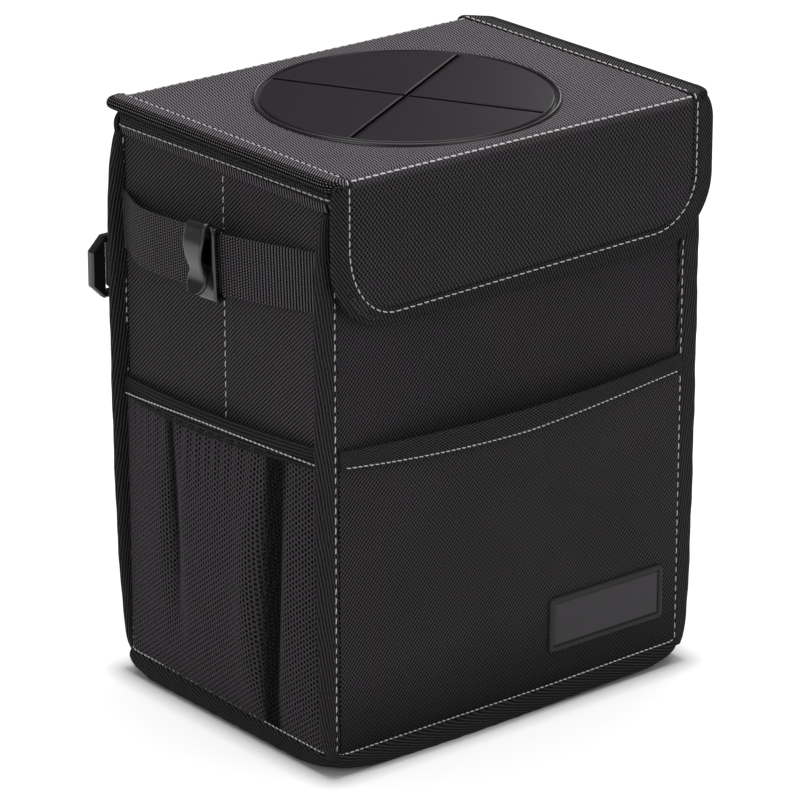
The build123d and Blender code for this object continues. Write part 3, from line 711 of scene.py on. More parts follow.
def build_front_pocket():
    """Front pocket sheet, its taped mouth and the bare moulded patch."""
    z, x = np.linspace(BAND_TOP - 1, POCKET_TOP - 4, 70), np.linspace(-SPAN_X - 1.2, SPAN_X + 1.2, 90)
    zz, xx = mesh_of(z, x)
    slack = 0.22 * ripple(xx, zz, 0.9) * smooth((SPAN_X - np.abs(xx)) / 20) * smooth((zz - 50) / 30)
    outer = xyz(xx, -(WALL_Y + 1.25 + front_bow(xx, zz) + slack), zz)
    skin = Skin().slab(outer, outer + [0, 1.1, 0], [0, 2])
    made = skin.piece("front_pocket_cloth", "bin", "front_twill", "front_twill", ["front_pocket"])

    x = np.linspace(-SPAN_X - 1.4, SPAN_X + 1.4, 100)
    width = 8.0 + pocket_tape_width(x)
    dip = 0.48 * crown(x, SPAN_X) - 0.24
    tape = 10.0
    path = xyz(x, -(WALL_Y + 1.1 + front_bow(x, POCKET_TOP)), POCKET_TOP - width - dip)
    across = xyz(0, -0.05 * crown(x, SPAN_X), width / tape)
    skin = Skin().tube(carry(fold_profile(tape, 1.25, GROOVE), path, across, [0, -1, 0]))
    skin.piece("front_pocket_tape", "bin", "binding_tape", "binding_tape", ["front_pocket_binding"])

    half = (PATCH_HIGH - PATCH_LOW) / 2
    middle = (PATCH_HIGH + PATCH_LOW) / 2 + [2.0, 0.0, 2.4]
    thick = 2 * half[1]
    frame_steps = [(0.0, 0.0), (0.0, thick - 0.45), (0.15, thick - 0.12), (0.45, thick), (1.9, thick),
                   (2.2, thick - 0.12), (2.35, thick - 0.5), (2.35, 0.0), (0.0, 0.0)]
    face = thick - 0.2
    panel_steps = [(2.3, 0.0), (2.3, thick - 0.6), (2.8, thick - 0.55), (3.1, thick - 0.25), (3.5, face)]
    panel_steps += [(inset, face) for inset in np.linspace(4.5, half[2] - 0.05, 6)]
    for name, steps, finish in (("patch_frame", frame_steps, "patch_frame"),
                                ("bare_patch", panel_steps, "patch_rubber")):
        rows = []
        for inset, height in steps:
            outline = ring(half[0] - inset, half[2] - inset, max(2.2 - inset * 0.7, 0.05), corner=7, side=12)
            rows.append(np.insert(outline + middle[[0, 2]], 1, PATCH_HIGH[1] - height, axis=1))
        grid = np.stack(rows)
        uv = closed(grid)[..., [0, 2]]
        skin = Skin().tube(grid, uv) if name == "bare_patch" else Skin().add(grid, uv, wrap=True)
        skin.piece(name, "bin", "patch", finish, ["label_patch"])


def net_cells(side, column=1.58, row=2.2):
    """Corners of a net's six-sided cells and of their holes: every other column is half a cell higher."""
    columns, rows = int(2 * INNER_Y / column), int(NET_HEIGHT / row) + 1
    i, j = mesh_of(np.arange(columns), np.arange(rows))
    middle = np.stack([(i + 0.5 - columns / 2) * column, (j + 0.5 * (i % 2)) * row + 0.2], -1)
    middle = middle.reshape(-1, 1, 2)
    corner = np.array([(4 / 6, 0), (2 / 6, 0.5), (-2 / 6, 0.5), (-4 / 6, 0), (-2 / 6, -0.5), (2 / 6, -0.5)])
    edge = middle + corner * [column, row]
    hole = middle + (edge - middle) * [0.68, 0.74]
    cells = np.stack([edge, hole], 1)
    cells[..., 0] = np.clip(cells[..., 0], -INNER_Y, INNER_Y)
    y, rise = cells[..., 0], cells[..., 1] / NET_HEIGHT
    x = WALL_X + net_bow(y, np.clip(rise, 0, 1)) + 1.0
    height = NET_FOOT - 0.8 + (NET_HEIGHT + 0.8 - NET_DROP * y) * np.clip(rise, 0, 1.02)
    return xyz(side * x, y, height), cells


def build_nets():
    """Net pockets with real holes and their ribbed elastic hems."""
    y = np.linspace(-INNER_Y - 1, INNER_Y + 1, 90)
    pulled = np.clip(crown(y, INNER_Y), 0, 1)
    foot = NET_FOOT + NET_HEIGHT - NET_DROP * y
    lean = -3.5 * pulled / 8.5
    gather = (1 + 0.025 * np.sin(y * TURN / 5.1))[:, None]
    for side, name in SIDES:
        points, flat = net_cells(side)
        skin = Skin().add(points, closed(flat), wrap=True)
        net = skin.piece(f"{name}_net", "bin", "mesh", "net_yarn", [f"{name}_mesh_pocket"], sharp=70)
        thick = net.modifiers.new("Thickness", "SOLIDIFY")
        thick.thickness, thick.offset = 0.0006, 0.0
        path = xyz(side * (WALL_X + 1.05 + NET_BOW * pulled), y, foot + 4.25)
        across, out = xyz(side * lean, 0, 1), xyz(side, 0, -lean)
        profile = strip_profile(9.0, 1.0, 29, ridges=4, ridge=0.16)
        skin = Skin().tube(carry(profile, path, across * gather, out * gather))
        hem = skin.piece(f"{name}_net_hem", "bin", "elastic", "elastic_hem", [f"{name}_mesh_hem"])


def tilt(grid):
    """Turns points of a side wall about the webbing's middle, so that the back end drops."""
    c, s = math.cos(WEBBING_TILT), math.sin(WEBBING_TILT)
    y, z = grid[..., 1], grid[..., 2] - WEBBING_Z
    return xyz(grid[..., 0], c * y + s * z, WEBBING_Z - s * y + c * z)


def back_strap(name, node, strip, half):
    """A strap on edge behind the back wall, along a line of X and distance from the wall."""
    tangent = heading(strip)
    path = xyz(strip[:, 0], WALL_Y + strip[:, 1], STRAP_Z)
    grid = carry(strip_profile(STRAP_WIDE, half, 26), path, [0, 0, 1], xyz(-tangent[:, 1], tangent[:, 0], 0))
    Skin().tube(grid).piece(name, "bin", "webbing", "webbing", [node])


def build_straps():
    """Side webbing sewn flat at its ends, the hanging strap with its tab on the back, and the strap lock."""
    sewn, crest = WEBBING_HALF, 12.5
    line = rounded_path([(-INNER_Y - 1, sewn), (-60.5, sewn), (-15, crest), (40, crest), (63.5, sewn),
                         (INNER_Y + 1, sewn)], 30, 1.2)
    tangent = heading(line)
    for side, name in SIDES:
        path = xyz(side * (WALL_X + line[:, 1]), line[:, 0], WEBBING_Z)
        out = xyz(side * tangent[:, 0], -tangent[:, 1], 0)
        skin = Skin().tube(tilt(carry(strip_profile(25.0, WEBBING_HALF, 26), path, [0, 0, 1], out)))
        skin.piece(f"{name}_side_webbing", "bin", "webbing", "webbing", [f"{name}_webbing"])

    lock_low, lock_high = span("ladder_lock")
    lock_y = (lock_low[1] + lock_high[1]) / 2 - WALL_Y
    radius, bend = 3.2, STRAP_LOW[0] + 4.0
    near, far = lock_y - radius, lock_y + radius
    loop = radius * arc(-90, -270, 13) + [bend, lock_y]
    sewn, crest = 0.9, 11.5
    lead = rounded_path([(SPAN_X, sewn), (70, sewn), (32, crest), (-32, crest), (bend + 6.5, near),
                         (bend, near)], 30, 1.5)
    end = np.linspace([bend, far], [bend + 38, far], 30)
    strip = resample(np.concatenate([lead, loop[1:], end[1:]]), 1.0)
    back_strap("hanging_webbing", "hanging_strap", strip, WEBBING_HALF)

    tab_low, tab_high = span("strap_tab")
    half = 0.7
    middle = (tab_low[0] + tab_high[0]) / 2
    reach = (tab_high[0] - tab_low[0]) / 2 - half
    loop = reach * arc(180, 0, 13) + [middle, tab_high[1] - WALL_Y - half - reach]
    strip = resample(np.concatenate([[(middle - reach, 0.6)], loop, [(middle + reach, 0.6)]]), 0.8)
    back_strap("lock_tab", "strap_tab", strip, half)
    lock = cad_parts["ladder_lock"]
    lock.data.materials.clear()
    lock.data.materials.append(bpy.data.materials["gloss_plastic_solid_finish"])


def build_clips():
    """Bag clips: a closed moulded loop round the webbing and a sprung tongue, waisted, with a round pad."""
    clip_low, clip_high = span("left_clip")
    middle_y = (clip_low[1] + clip_high[1]) / 2 - 1.8
    back, face, top, wide, pad = 9.5, 15.9, 15.2, 14.0, 5.9
    loop = ring((face - back) / 2 - 1.0, top - 1.05, 1.1, corner=6, side=10) + [(back + face) / 2, 0]
    ahead = np.roll(loop, -1, 0) - np.roll(loop, 1, 0)
    ahead /= np.linalg.norm(ahead, axis=1, keepdims=True)
    section = strip_profile(wide, 1.0, 14)
    spine = [(14.9, 0), (14.9, 16.7), (18.2, 16.7), (21.0, 6.0), (18.0, -4.5), (21.2, -11.8)]
    spine = rounded_path(spine, 4.5, 0.35)
    far = run(spine)
    left = far[-1] - far
    chord = np.sqrt(np.clip(pad ** 2 - (left - pad) ** 2, 0, None)) * 2
    waist = 12.6 - 4.4 * smooth((far - 24) / 14)
    width = np.where(left < pad, chord, np.maximum(waist, np.where(left < 2 * pad, chord, 0)))

    def bent(line, tangent, share, side):
        path = xyz(side * (WALL_X + line[:, 0]), middle_y, WEBBING_Z + line[:, 1])
        return tilt(carry(section, path, xyz(0, share, 0), xyz(side * tangent[:, 1], 0, -tangent[:, 0])))

    for side, name in SIDES:
        skin = Skin().hoop(bent(loop, ahead, 1, side), turned=True)
        skin.tube(bent(spine, heading(spine), width / wide, side))
        clip = f"{name}_clip"
        skin.piece(f"{name}_bag_clip", clip, "moulded_plastic", "gloss_plastic", [clip], sharp=60)


def build_lid():
    """Lid cloth with its round mouth and rolled edges, the side tapes and the hinge cloth on the back rim."""
    angle = np.linspace(0, TURN, 240, endpoint=False)
    direction = np.stack([np.cos(angle), np.sin(angle)], -1)
    steep = np.maximum(np.abs(direction), 1e-9)
    front, back, half_x, mouth = FLAP_Y + 0.2, LID_HINGE_Y, 91.5, DISC_EDGE - 2.0
    edge_x = half_x + (LID_SHIFT - DISC_X) * np.sign(direction[:, 0])
    edge_y = np.where(direction[:, 1] > 0, back - DISC_Y, DISC_Y - front)
    reach = np.minimum(edge_x / steep[:, 0], edge_y / steep[:, 1])
    share = np.concatenate([np.linspace(0, 0.96, 22), [0.98, 0.99, 1.0]])[:, None]
    radius = mouth + share * (reach[None] - mouth)
    x, y = DISC_X + radius * direction[:, 0], DISC_Y + radius * direction[:, 1]
    give = mouth_sag(x, y) * (1 - share) ** 2
    from_edge = np.minimum(y - front, back - y)
    inside = np.minimum(from_edge, radius - mouth)
    puff = 0.35 * smooth(inside / 9) + 0.12 * ripple(x, y, 0.3) * smooth(inside / 12)
    roll = LID_HALF * (1 - dome(1 - from_edge / LID_HALF))
    upper = xyz(x, y, LID_TOP - roll + puff + give)
    lower = xyz(x, y, 2 * LID_MIDDLE - LID_TOP + roll + give)
    skin = Skin().slab(upper, lower, [0, 1], wrap=True)
    made = skin.piece("lid_cloth", "lid", "lid_twill", "lid_twill", ["lid_panel"])
    wide, deep = 2 * half_x / 1000, (back - front) / 1000
    wide * deep - math.pi * (mouth / 1000) ** 2

    turn = TAPE_HALF * np.sin(np.linspace(0, QUARTER, 8))
    y = np.concatenate([back + turn[::-1], np.linspace(back, front, 90)[1:-1], front - turn])
    thin = dome(np.maximum(y - back, front - y) / (TAPE_HALF + 1e-6), 1e-4)
    for side, name in reversed(SIDES):
        tape = LID_TAPE[side]
        near_back = np.clip((y - back - TAPE_HALF) / (9.5 if side > 0 else 7.0) + 1, 0, 1)
        near_front = np.clip((front - TAPE_HALF - y) / (10.0 if side > 0 else 7.0) + 1, 0, 1)
        back_cut = 10.8 * near_back if side > 0 else 7.0 * (1 - dome(near_back))
        width = 1 - (back_cut + (7.2 + 2 * side) * (1 - dome(near_front))) / tape
        sway = 0.072 * np.sin(y * TURN / 43 + side)
        path = xyz(side * (LID_EDGE - tape) + sway, y, LID_MIDDLE)
        profile = fold_profile(tape, TAPE_HALF, GROOVE)
        skin = Skin().tube(carry(profile, path, xyz(side * width, 0, 0), xyz(0, 0, thin)))
        skin.piece(f"lid_{name}_tape", "lid", "binding_tape", f"{name}_lid_tape", [f"lid_{name}_binding"])

    rim_y, rim_z = RIM_HIGH[1:]
    line = rounded_path([(rim_y + 0.25, rim_z - 9), (rim_y + 0.3, rim_z - 0.7),
                         (LID_HINGE_Y - 1.3, LID_MIDDLE - LID_HALF - 0.25)], 0.5, 0.4)
    grid = xyz(np.linspace(-SPAN_X, SPAN_X, 90), line[:, :1], line[:, 1:])
    skin = Skin().slab(grid + [0, 0.25, 0], grid - [0, 0.2, 0], [0, 2])
    skin.piece("hinge_cloth", "bin", "binding_tape", "binding_tape", ["hinge_tape"])

    line = np.array([(0.2, 230.0), (1.4, 236.5), (1.8, 240.5), (0.1, 244.6)]) + [rim_y, 0]
    line = rounded_path(line, 3, 0.7)
    swell = np.sin(np.linspace(0.12, 0.86, len(line)) * math.pi)
    tangent = heading(line) * swell[:, None]
    for side, name in reversed(SIDES):
        path = xyz(side * (WALL_X - 0.8) + LID_SHIFT, line[:, 0], line[:, 1])
        out = xyz(0, tangent[:, 1], -tangent[:, 0])
        grid = carry(strip_profile(7.0, 1.1, 14), path, xyz(side * swell, 0, 0), out)
        Skin().tube(grid).piece(f"{name}_hinge_end", "bin", "binding_tape", "binding_tape")


def flap_line(inset, low, left, right, sag=0.0):
    """The flap's free edge moved inwards, in X and Z: down the right, round two oval corners, up the left."""
    x, foot = LID_EDGE - inset, FLAP_FOOT + low
    arcs = [[x - wide, foot + high] + [wide, high] * arc(0, -90, 30) for wide, high in (right, left)]
    arcs[1] = arcs[1][::-1] * [-1, 1]
    line = np.concatenate([np.linspace((x, LID_MIDDLE), arcs[0][0], 40)[:-1], arcs[0],
                           np.linspace(arcs[0][-1], arcs[1][0], 110)[1:-1], arcs[1],
                           np.linspace(arcs[1][-1], (-x, LID_MIDDLE), 40)[1:]])
    line[:, 1] -= sag * (1 - line[:, 0] / x) * smooth((LID_MIDDLE - line[:, 1]) / (LID_MIDDLE - foot))
    return line


def drawn_in(height, side):
    """Share of the flap tape's width left at a height: its upper ends are rounded, the right one more."""
    near = np.clip((height - LID_MIDDLE - TAPE_HALF) / 12.0 + 1, 0, 1)
    return 1 - (5.2 + side) * (1 - dome(near)) / FLAP_TAPE


def build_flap():
    """Flap cloth with its rolled upper edge, the tape round its free edge and the two fastener strips."""
    z = np.concatenate([np.linspace(LID_MIDDLE + LID_HALF * 0.98, LID_MIDDLE, 8),
                        np.linspace(LID_MIDDLE, FLAP_LOW[2] - 0.5, 56)[1:]])
    zz, ss = mesh_of(z, np.linspace(-1, 1, 90))
    radius = 20.5
    drop = np.clip(FLAP_LOW[2] + 18.5 - zz, 0, radius)
    xx = ss * (FLAP_HIGH[0] + 0.5 - radius + np.sqrt(radius ** 2 - drop ** 2))
    edge = np.minimum(FLAP_HIGH[0] - np.abs(xx), zz - FLAP_LOW[2])
    below = LID_MIDDLE - zz
    puff = 0.9 * smooth((edge - 1.0) / 8) * smooth(below / 9) + 0.25 * ripple(xx, zz, 0.2) * smooth(edge / 15)
    groove = 0.35 * bump_at(edge, 1.6, 1.5) * smooth(below / 5)
    half = LID_HALF * dome(-below / LID_HALF, 1e-3)
    zz = zz - 2.0 * (1 - ss) * smooth(below / (LID_MIDDLE - FLAP_LOW[2]))
    skin = Skin().slab(xyz(xx, FLAP_Y - half - puff + groove, zz), xyz(xx, FLAP_Y + half, zz), [0, 2])
    made = skin.piece("flap_cloth", "flap", "flap_weave", "flap_weave", ["flap_panel"])
    size = (2 * FLAP_HIGH[0] / 1000 + 0.001, np.ptp(z) / 1000)
    size[0] * size[1] * 0.98

    line = flap_line(11.9, 11.4, (25, 29), (21, 21), 2.0) - [0.5, 0]
    edge = flap_line(1.4, 1.4, (28, 29), (28, 28)) + [1.1, 0]
    across = (edge - line) / FLAP_TAPE * drawn_in(line[:, 1], np.sign(line[:, 0]))[:, None]
    across = np.insert(across, 1, 0, axis=1)
    profile = fold_profile(FLAP_TAPE, TAPE_HALF, GROOVE, taper=0.5)
    grid = carry(profile, np.insert(line, 1, FLAP_Y, axis=1), across, [0, -1, 0])
    turn = np.linspace(QUARTER, 0, 7)[:-1, None]
    caps = []
    for row, start, rises in ((grid[0], line[0, 0], turn), (grid[-1], line[-1, 0], turn[::-1])):
        side = np.sign(start)
        height = LID_MIDDLE + TAPE_HALF * np.sin(rises)
        x = start + (row[:, 0] - start) * (drawn_in(height, side) / drawn_in(LID_MIDDLE, side))
        caps.append(xyz(x, FLAP_Y + (row[:, 1] - FLAP_Y) * np.cos(rises), height))
    grid = np.concatenate([caps[0], grid, caps[1]])
    skin = Skin().tube(grid, closed(grid)[..., [0, 2]])
    skin.piece("flap_tape", "flap", "binding_tape", "flap_tape", ["flap_binding"])

    for node, name, body, material in (("flap_hook_strip", "hook_strip", "flap", "hook_pile"),
                                       ("front_loop_strip", "loop_strip", "bin", "loop_pile")):
        low, high = span(node)
        zz, xx = mesh_of(np.linspace(low[2], high[2], 30), np.linspace(low[0], high[0], 110))
        edge = np.minimum(np.minimum(xx - low[0], high[0] - xx), np.minimum(zz - low[2], high[2] - zz))
        pile = (high[1] - low[1]) * (0.55 + 0.4 * smooth(edge / 2) * (0.9 + 0.1 * ripple(xx * 9, zz * 11)))
        root, away = (low[1], 1) if body == "flap" else (high[1], -1)
        skin = Skin().slab(xyz(xx, root + away * pile, zz), xyz(xx, root, zz), [0, 2])
        skin.piece(name, body, "touch_fastener", material, [node])


def build_mouth():
    """Rubber mouth: a raised ring, a groove inside it and four petals parted by two crossed slits."""
    outer, crest = DISC_EDGE, LID_TOP + 1.7
    limit, top, thick = outer - 3.3, LID_TOP + 1.6, 1.4
    bead = [outer - 0.6, LID_TOP + 0.1] + [0.9, crest - LID_TOP - 0.1] * arc(0, 90, 9)
    start = (limit - 0.3, top - thick)
    profile = np.concatenate([[start, (outer - 3.0, top - 1.8), (outer - 3.0, LID_TOP - 3),
                               (outer - 2.2, LID_TOP - 3), (outer - 2.1, LID_TOP + 0.1)], bead,
                              [(outer - 0.95, crest - 0.2), (outer - 1.2, crest - 1.2),
                               (outer - 2.6, crest - 1.5), (outer - 2.9, crest - 0.4), (limit - 0.1, top),
                               start]])
    angle = np.linspace(0, TURN, 180, endpoint=False)
    x, y = DISC_X + profile[:, :1] * np.cos(angle), DISC_Y + profile[:, :1] * np.sin(angle)
    rows = xyz(x, y, profile[:, 1:] + mouth_sag(x, y))
    skin = Skin().add(rows, closed(rows)[..., :2], wrap=True)
    skin.piece("mouth_ring", "lid", "membrane", "ring_rubber", ["rubber_membrane"], sharp=60)

    skin = Skin()
    wide, narrow = 1.25, 1.0
    turns = np.radians([29.2, 118.6, 209.2, 298.6, 389.2])
    share = 0.5 - 0.5 * np.cos(np.linspace(0, math.pi, 40))
    share = 0.6 * share + 0.4 * smooth(smooth(share))
    r = np.concatenate([[0, 0.004, 0.01], np.linspace(0.025, 1, 34)])
    for quarter in range(4):
        first, last = turns[quarter:quarter + 2]
        phi = first + share * (last - first)
        direction = np.stack([np.cos(phi), np.sin(phi)], -1)
        beside = (narrow, wide) if quarter % 2 == 0 else (wide, narrow)
        corner = beside[0] * direction[0] + beside[1] * direction[-1]
        dot = direction @ corner
        reach = -dot + np.sqrt(dot ** 2 + limit ** 2 - corner @ corner)
        spread = (r[:, None] * reach)[..., None] * direction
        gap = np.minimum(direction[0, 0] * spread[..., 1] - direction[0, 1] * spread[..., 0],
                         direction[-1, 1] * spread[..., 0] - direction[-1, 0] * spread[..., 1])
        lip = 0.2 * bump_at(gap, 0, 0.4)
        x, y = DISC_X + (corner + spread)[..., 0], DISC_Y + (corner + spread)[..., 1]
        give = mouth_sag(x, y)
        skin.slab(xyz(x, y, top - lip + give), xyz(x, y, top - thick + lip + give), [0, 1])
    c, s = math.cos(turns[0]), math.sin(turns[0])
    along, aside = mesh_of(np.linspace(-limit, limit, 60), np.linspace(-0.3, 0.3, 3))
    x, y = DISC_X + along * c - aside * s, DISC_Y + along * s + aside * c
    web = xyz(x, y, top - 0.8 + mouth_sag(x, y))
    skin.slab(web, web - [0, 0, 0.6], [0, 1])
    skin.piece("mouth_petals", "lid", "membrane", "satin_rubber", ["rubber_membrane"], sharp=60)


def dashes(skin, line, normal, dash, pitch, thread):
    """Sews a run of stitches along a line: small thread capsules that dip into the cloth at both ends."""
    far = run(line)
    count = max(1, int((far[-1] - dash) / pitch + 0.5))
    t = np.linspace(-1, 1, 7)
    at = (np.arange(count)[:, None] + 0.5) * (far[-1] / count) + t * dash / 2
    centre, up = (np.stack([np.interp(at, far, values[:, k]) for k in range(3)], -1)
                  for values in (line, np.broadcast_to(normal, line.shape)))
    ahead = np.gradient(centre, axis=1)
    ahead /= np.linalg.norm(ahead, axis=-1, keepdims=True)
    side = np.cross(ahead, up)
    turn = np.linspace(0, TURN, 6, endpoint=False)[:, None]
    girth = (thread / 2 * np.sqrt(np.clip(1 - t ** 4, 0, 1)))[None, :, None, None]
    slant = (0.1 * t)[None, :, None] * side
    lift = (thread * (0.30 - 0.55 * t ** 4))[None, :, None] * up
    spoke = np.cos(turn) * side[..., None, :] + np.sin(turn) * up[..., None, :] * 0.8
    grid = (centre + slant + lift)[..., None, :] + girth * spoke
    skin.add(grid, np.stack(mesh_of(t * dash / 2, np.linspace(0, math.pi * thread, 7)), -1), wrap=True)


def build_stitches(look):
    """All runs of pale stitches, one object for each body."""
    size = {"dash": look.dash * 1000, "pitch": look.pitch * 1000, "thread": look.thread * 1000}
    tight = {**size, "dash": look.pitch * 700, "pitch": look.pitch * 830}
    fine = {**size, "dash": look.pitch * 510, "pitch": look.pitch * 600}
    lid_line = {side: LID_EDGE - LID_TAPE[side] + 1.35 for side in LID_TAPE}
    skin = Skin()
    y = np.linspace(LID_HINGE_Y - 1, FLAP_Y + 2.7, 60)
    for side in LID_TAPE:
        dashes(skin, xyz(side * lid_line[side], y, LID_MIDDLE + TAPE_HALF + 0.03), [0, 0, 1], **tight)
    x = np.linspace(2 - lid_line[-1], lid_line[1] - 1, 60)
    fold = (LID_HALF + 0.05) * math.sqrt(0.5)
    dashes(skin, xyz(x, FLAP_Y - fold, LID_MIDDLE + fold), [0, -1, 1], **tight)
    dashes(skin, xyz(x, LID_HINGE_Y - 3.0, LID_TOP + 0.2), [0, 0, 1], **size)
    skin.piece("lid_stitches", "lid", "binding_tape", "pale_thread")

    skin = Skin()
    line = flap_line(10.5, 10.0, (24, 29), (22, 22), 2.0) - [0.5, 0]
    line = line[line[:, 1] < LID_MIDDLE - 0.5]
    for face in (-1, 1):
        dashes(skin, np.insert(line, 1, FLAP_Y + face * (TAPE_HALF + 0.02), axis=1), [0, face, 0], **tight)
    turn = np.linspace(0, 1.3, 12)
    for side in (-1, 1):
        outward = xyz(0, -np.cos(turn), np.sin(turn))
        dashes(skin, [side * lid_line[side], FLAP_Y, LID_MIDDLE] + TAPE_HALF * outward, outward, **tight)
    skin.piece("flap_stitches", "flap", "binding_tape", "pale_thread")

    skin = Skin()
    z = np.linspace(BAND_TOP + 2, RIM_LOW[2] - 0.5, 90)
    for side_x in (1, -1):
        for side_y in (-1, 1):
            for face in (1, -1):
                inset = 4.7 if face < 0 else 3.2 if side_x < 0 else 1.6
                path = xyz(side_x * (SPAN_X + inset), side_y * (SEAM_Y + face * 1.9), z)
                dashes(skin, path, [0, side_y * face, 0], **size)
    loop = closed(ring(RIM_HIGH[0] + 0.05, RIM_HIGH[1] + 0.05, 4.0))
    rim_z = 240.3
    loop = xyz(loop[:, 0], loop[:, 1], rim_z - 1.2 * loop[:, 1] / WALL_Y)
    dashes(skin, loop, heading(loop)[:, [1, 0, 2]] * [1, -1, 1], **tight)
    loop = closed(ring(WALL_X + 1.8, WALL_Y + 1.8, 9.0))
    loop = xyz(loop[:, 0], loop[:, 1], BAND_TOP + 0.9 + base_rise(loop[:, 0], loop[:, 1]))
    dashes(skin, loop, heading(loop)[:, [1, 0, 2]] * [0.5, -0.5, 0] + [0, 0, 0.85], **fine)
    x = np.linspace(-SPAN_X + 1, SPAN_X - 1, 80)
    path = xyz(x, -(WALL_Y + 2.3 + front_bow(x, POCKET_TOP)), POCKET_TOP - 6.6 - pocket_tape_width(x))
    dashes(skin, path, [0, -1, 0], **fine)
    y = np.linspace(-INNER_Y + 0.5, INNER_Y - 0.5, 60)
    pulled = crown(y, INNER_Y)
    rise = 1.4 + 3.4 * pulled
    out = WALL_X + 2.4 + (NET_BOW - 0.412 * (rise - 4.25)) * pulled
    z = np.linspace(RIM_LOW[2] - 0.5, NET_FOOT + NET_HEIGHT + 5, 60)
    for side in (-1, 1):
        path = xyz(side * out, y, NET_FOOT + NET_HEIGHT - NET_DROP * y + rise)
        dashes(skin, path, [side, 0, 0.3], **fine)
        dashes(skin, xyz(side * (WALL_X - 0.25), 0, z), [side, 0, 0], **size)
    left, right, half = 72, 86, 8
    box = resample([(left, -half), (right, -half), (right, half), (left, half), (left, -half), (right, half),
                    (right, -half), (left, half)], 1.0)
    dashes(skin, xyz(box[:, 0], WALL_Y + 1.75, STRAP_Z + box[:, 1]), [0, 1, 0], **size)
    skin.piece("body_stitches", "bin", "binding_tape", "pale_thread")


def build_world(stage):
    """White light from all round: full for the camera, weaker for cloth, weaker still for shiny faces."""
    world = bpy.data.worlds.new("studio")
    bpy.context.scene.world = world
    world.use_nodes = True
    tree = world.node_tree
    camera = Socket(tree, None).node("LightPath", {}, {}, "Is Camera Ray")
    seen = (camera + camera.other("Is Transmission Ray")).clip()
    gloss = camera.other("Is Glossy Ray")
    strength = stage.fill + (1.0 - stage.fill) * seen + gloss * (stage.gloss - stage.fill)
    tree.links.new(strength.output, tree.nodes["Background"].inputs["Strength"])
    tree.nodes["Background"].inputs["Color"].default_value = (1, 1, 1, 1)


def build_floor(stage):
    """Pale round floor with a painted contact shadow: its glow rises with the distance from the bin's
    footprint, from 2 to 14 mm away.
    """
    mesh = bpy.data.meshes.new("floor")
    radius, sink = 3.0, 0.0002
    r, a = mesh_of(np.linspace(0, radius, 20), np.linspace(0, TURN, 64, endpoint=False))
    points = xyz(r * np.cos(a), r * np.sin(a), -sink)
    index = np.arange(r.size).reshape(r.shape)
    index = np.concatenate([index, index[:, :1]], 1)
    quads = np.stack([index[:-1, :-1], index[1:, :-1], index[1:, 1:], index[:-1, 1:]], -1).reshape(-1, 4)
    mesh.from_pydata(points.reshape(-1, 3).tolist(), [], quads.tolist())
    floor = bpy.data.objects.new("floor", mesh)
    bpy.context.scene.collection.objects.link(floor)
    material = bpy.data.materials.new("pale_floor")
    material.use_nodes = True
    tree = material.node_tree
    inputs = tree.nodes["Principled BSDF"].inputs
    inputs["Base Color"].default_value = (*(stage.floor_grey,) * 3, 1)
    inputs["Roughness"].default_value = 1.0
    inputs["Specular IOR Level"].default_value = 0.0
    start = Socket(tree, None)
    seen = start.node("LightPath", {}, {}, "Is Camera Ray")
    gloss = seen.other("Is Glossy Ray")
    tree.links.new((seen * stage.floor_glow + gloss * 0.5).output, inputs["Emission Strength"])
    place = start.node("SeparateXYZ", {}, {0: start.node("TexCoord", {}, {}, "Object")})
    across = (place.math("ABSOLUTE") - WALL_X / 1000).math("MAXIMUM", 0.0)
    deep = (place.other("Y").math("ABSOLUTE") - WALL_Y / 1000).math("MAXIMUM", 0.0)
    # Painted shadow: the glow colour is dark at the bin's footprint and rises to white within about 14 mm.
    painted_shadow_start, width, dark = 0.002, 0.012, 0.03
    near = ((across * across + deep * deep).math("SQRT") - painted_shadow_start) / width
    colour = near.clip().math("POWER", 0.6).mix((dark,) * 3, (1.0,) * 3)
    tree.links.new(colour.output, inputs["Emission Color"])
    mesh.materials.append(material)


def aimed(name, data, place, away):
    """Puts a lamp or camera in the scene, its back turned along a direction."""
    made = bpy.data.objects.new(name, data)
    made.location = place
    made.rotation_euler = Vector(-away).to_track_quat("-Z", "Y").to_euler()
    bpy.context.scene.collection.objects.link(made)
    return made


def build_stage(stage):
    """Pale floor, soft studio lights and the photo's camera."""
    scene = bpy.context.scene
    scene.view_settings.view_transform = "Standard"
    build_world(stage)
    build_floor(stage)
    centre = np.array([0.0, 0.0, 0.13])
    for name, place, size, power in (("top_light", (0.1, 0.15, 1.5), 1.6, stage.top_light),
                                     ("front_light", (0.3, -1.7, 0.9), 1.2, stage.front_light),
                                     ("left_light", (-1.7, -0.3, 0.8), 1.0, stage.left_light),
                                     ("back_light", (0.6, 0.32, 0.48), 0.3, stage.back_light)):
        lamp = bpy.data.lights.new(name, "AREA")
        lamp.size, lamp.energy = size, power
        aimed(name, lamp, place, np.array(place) - centre)
    azimuth, elevation = math.radians(stage.azimuth), math.radians(stage.elevation)
    away = np.array([math.cos(elevation) * math.sin(azimuth), -math.cos(elevation) * math.cos(azimuth),
                     math.sin(elevation)])
    lens = bpy.data.cameras.new("photo_camera")
    lens.sensor_width, lens.sensor_fit, lens.lens, lens.clip_end = 36.0, "HORIZONTAL", stage.lens, 20.0
    scene.camera = aimed("photo_camera", lens, np.array(stage.target) + away * stage.distance, away)


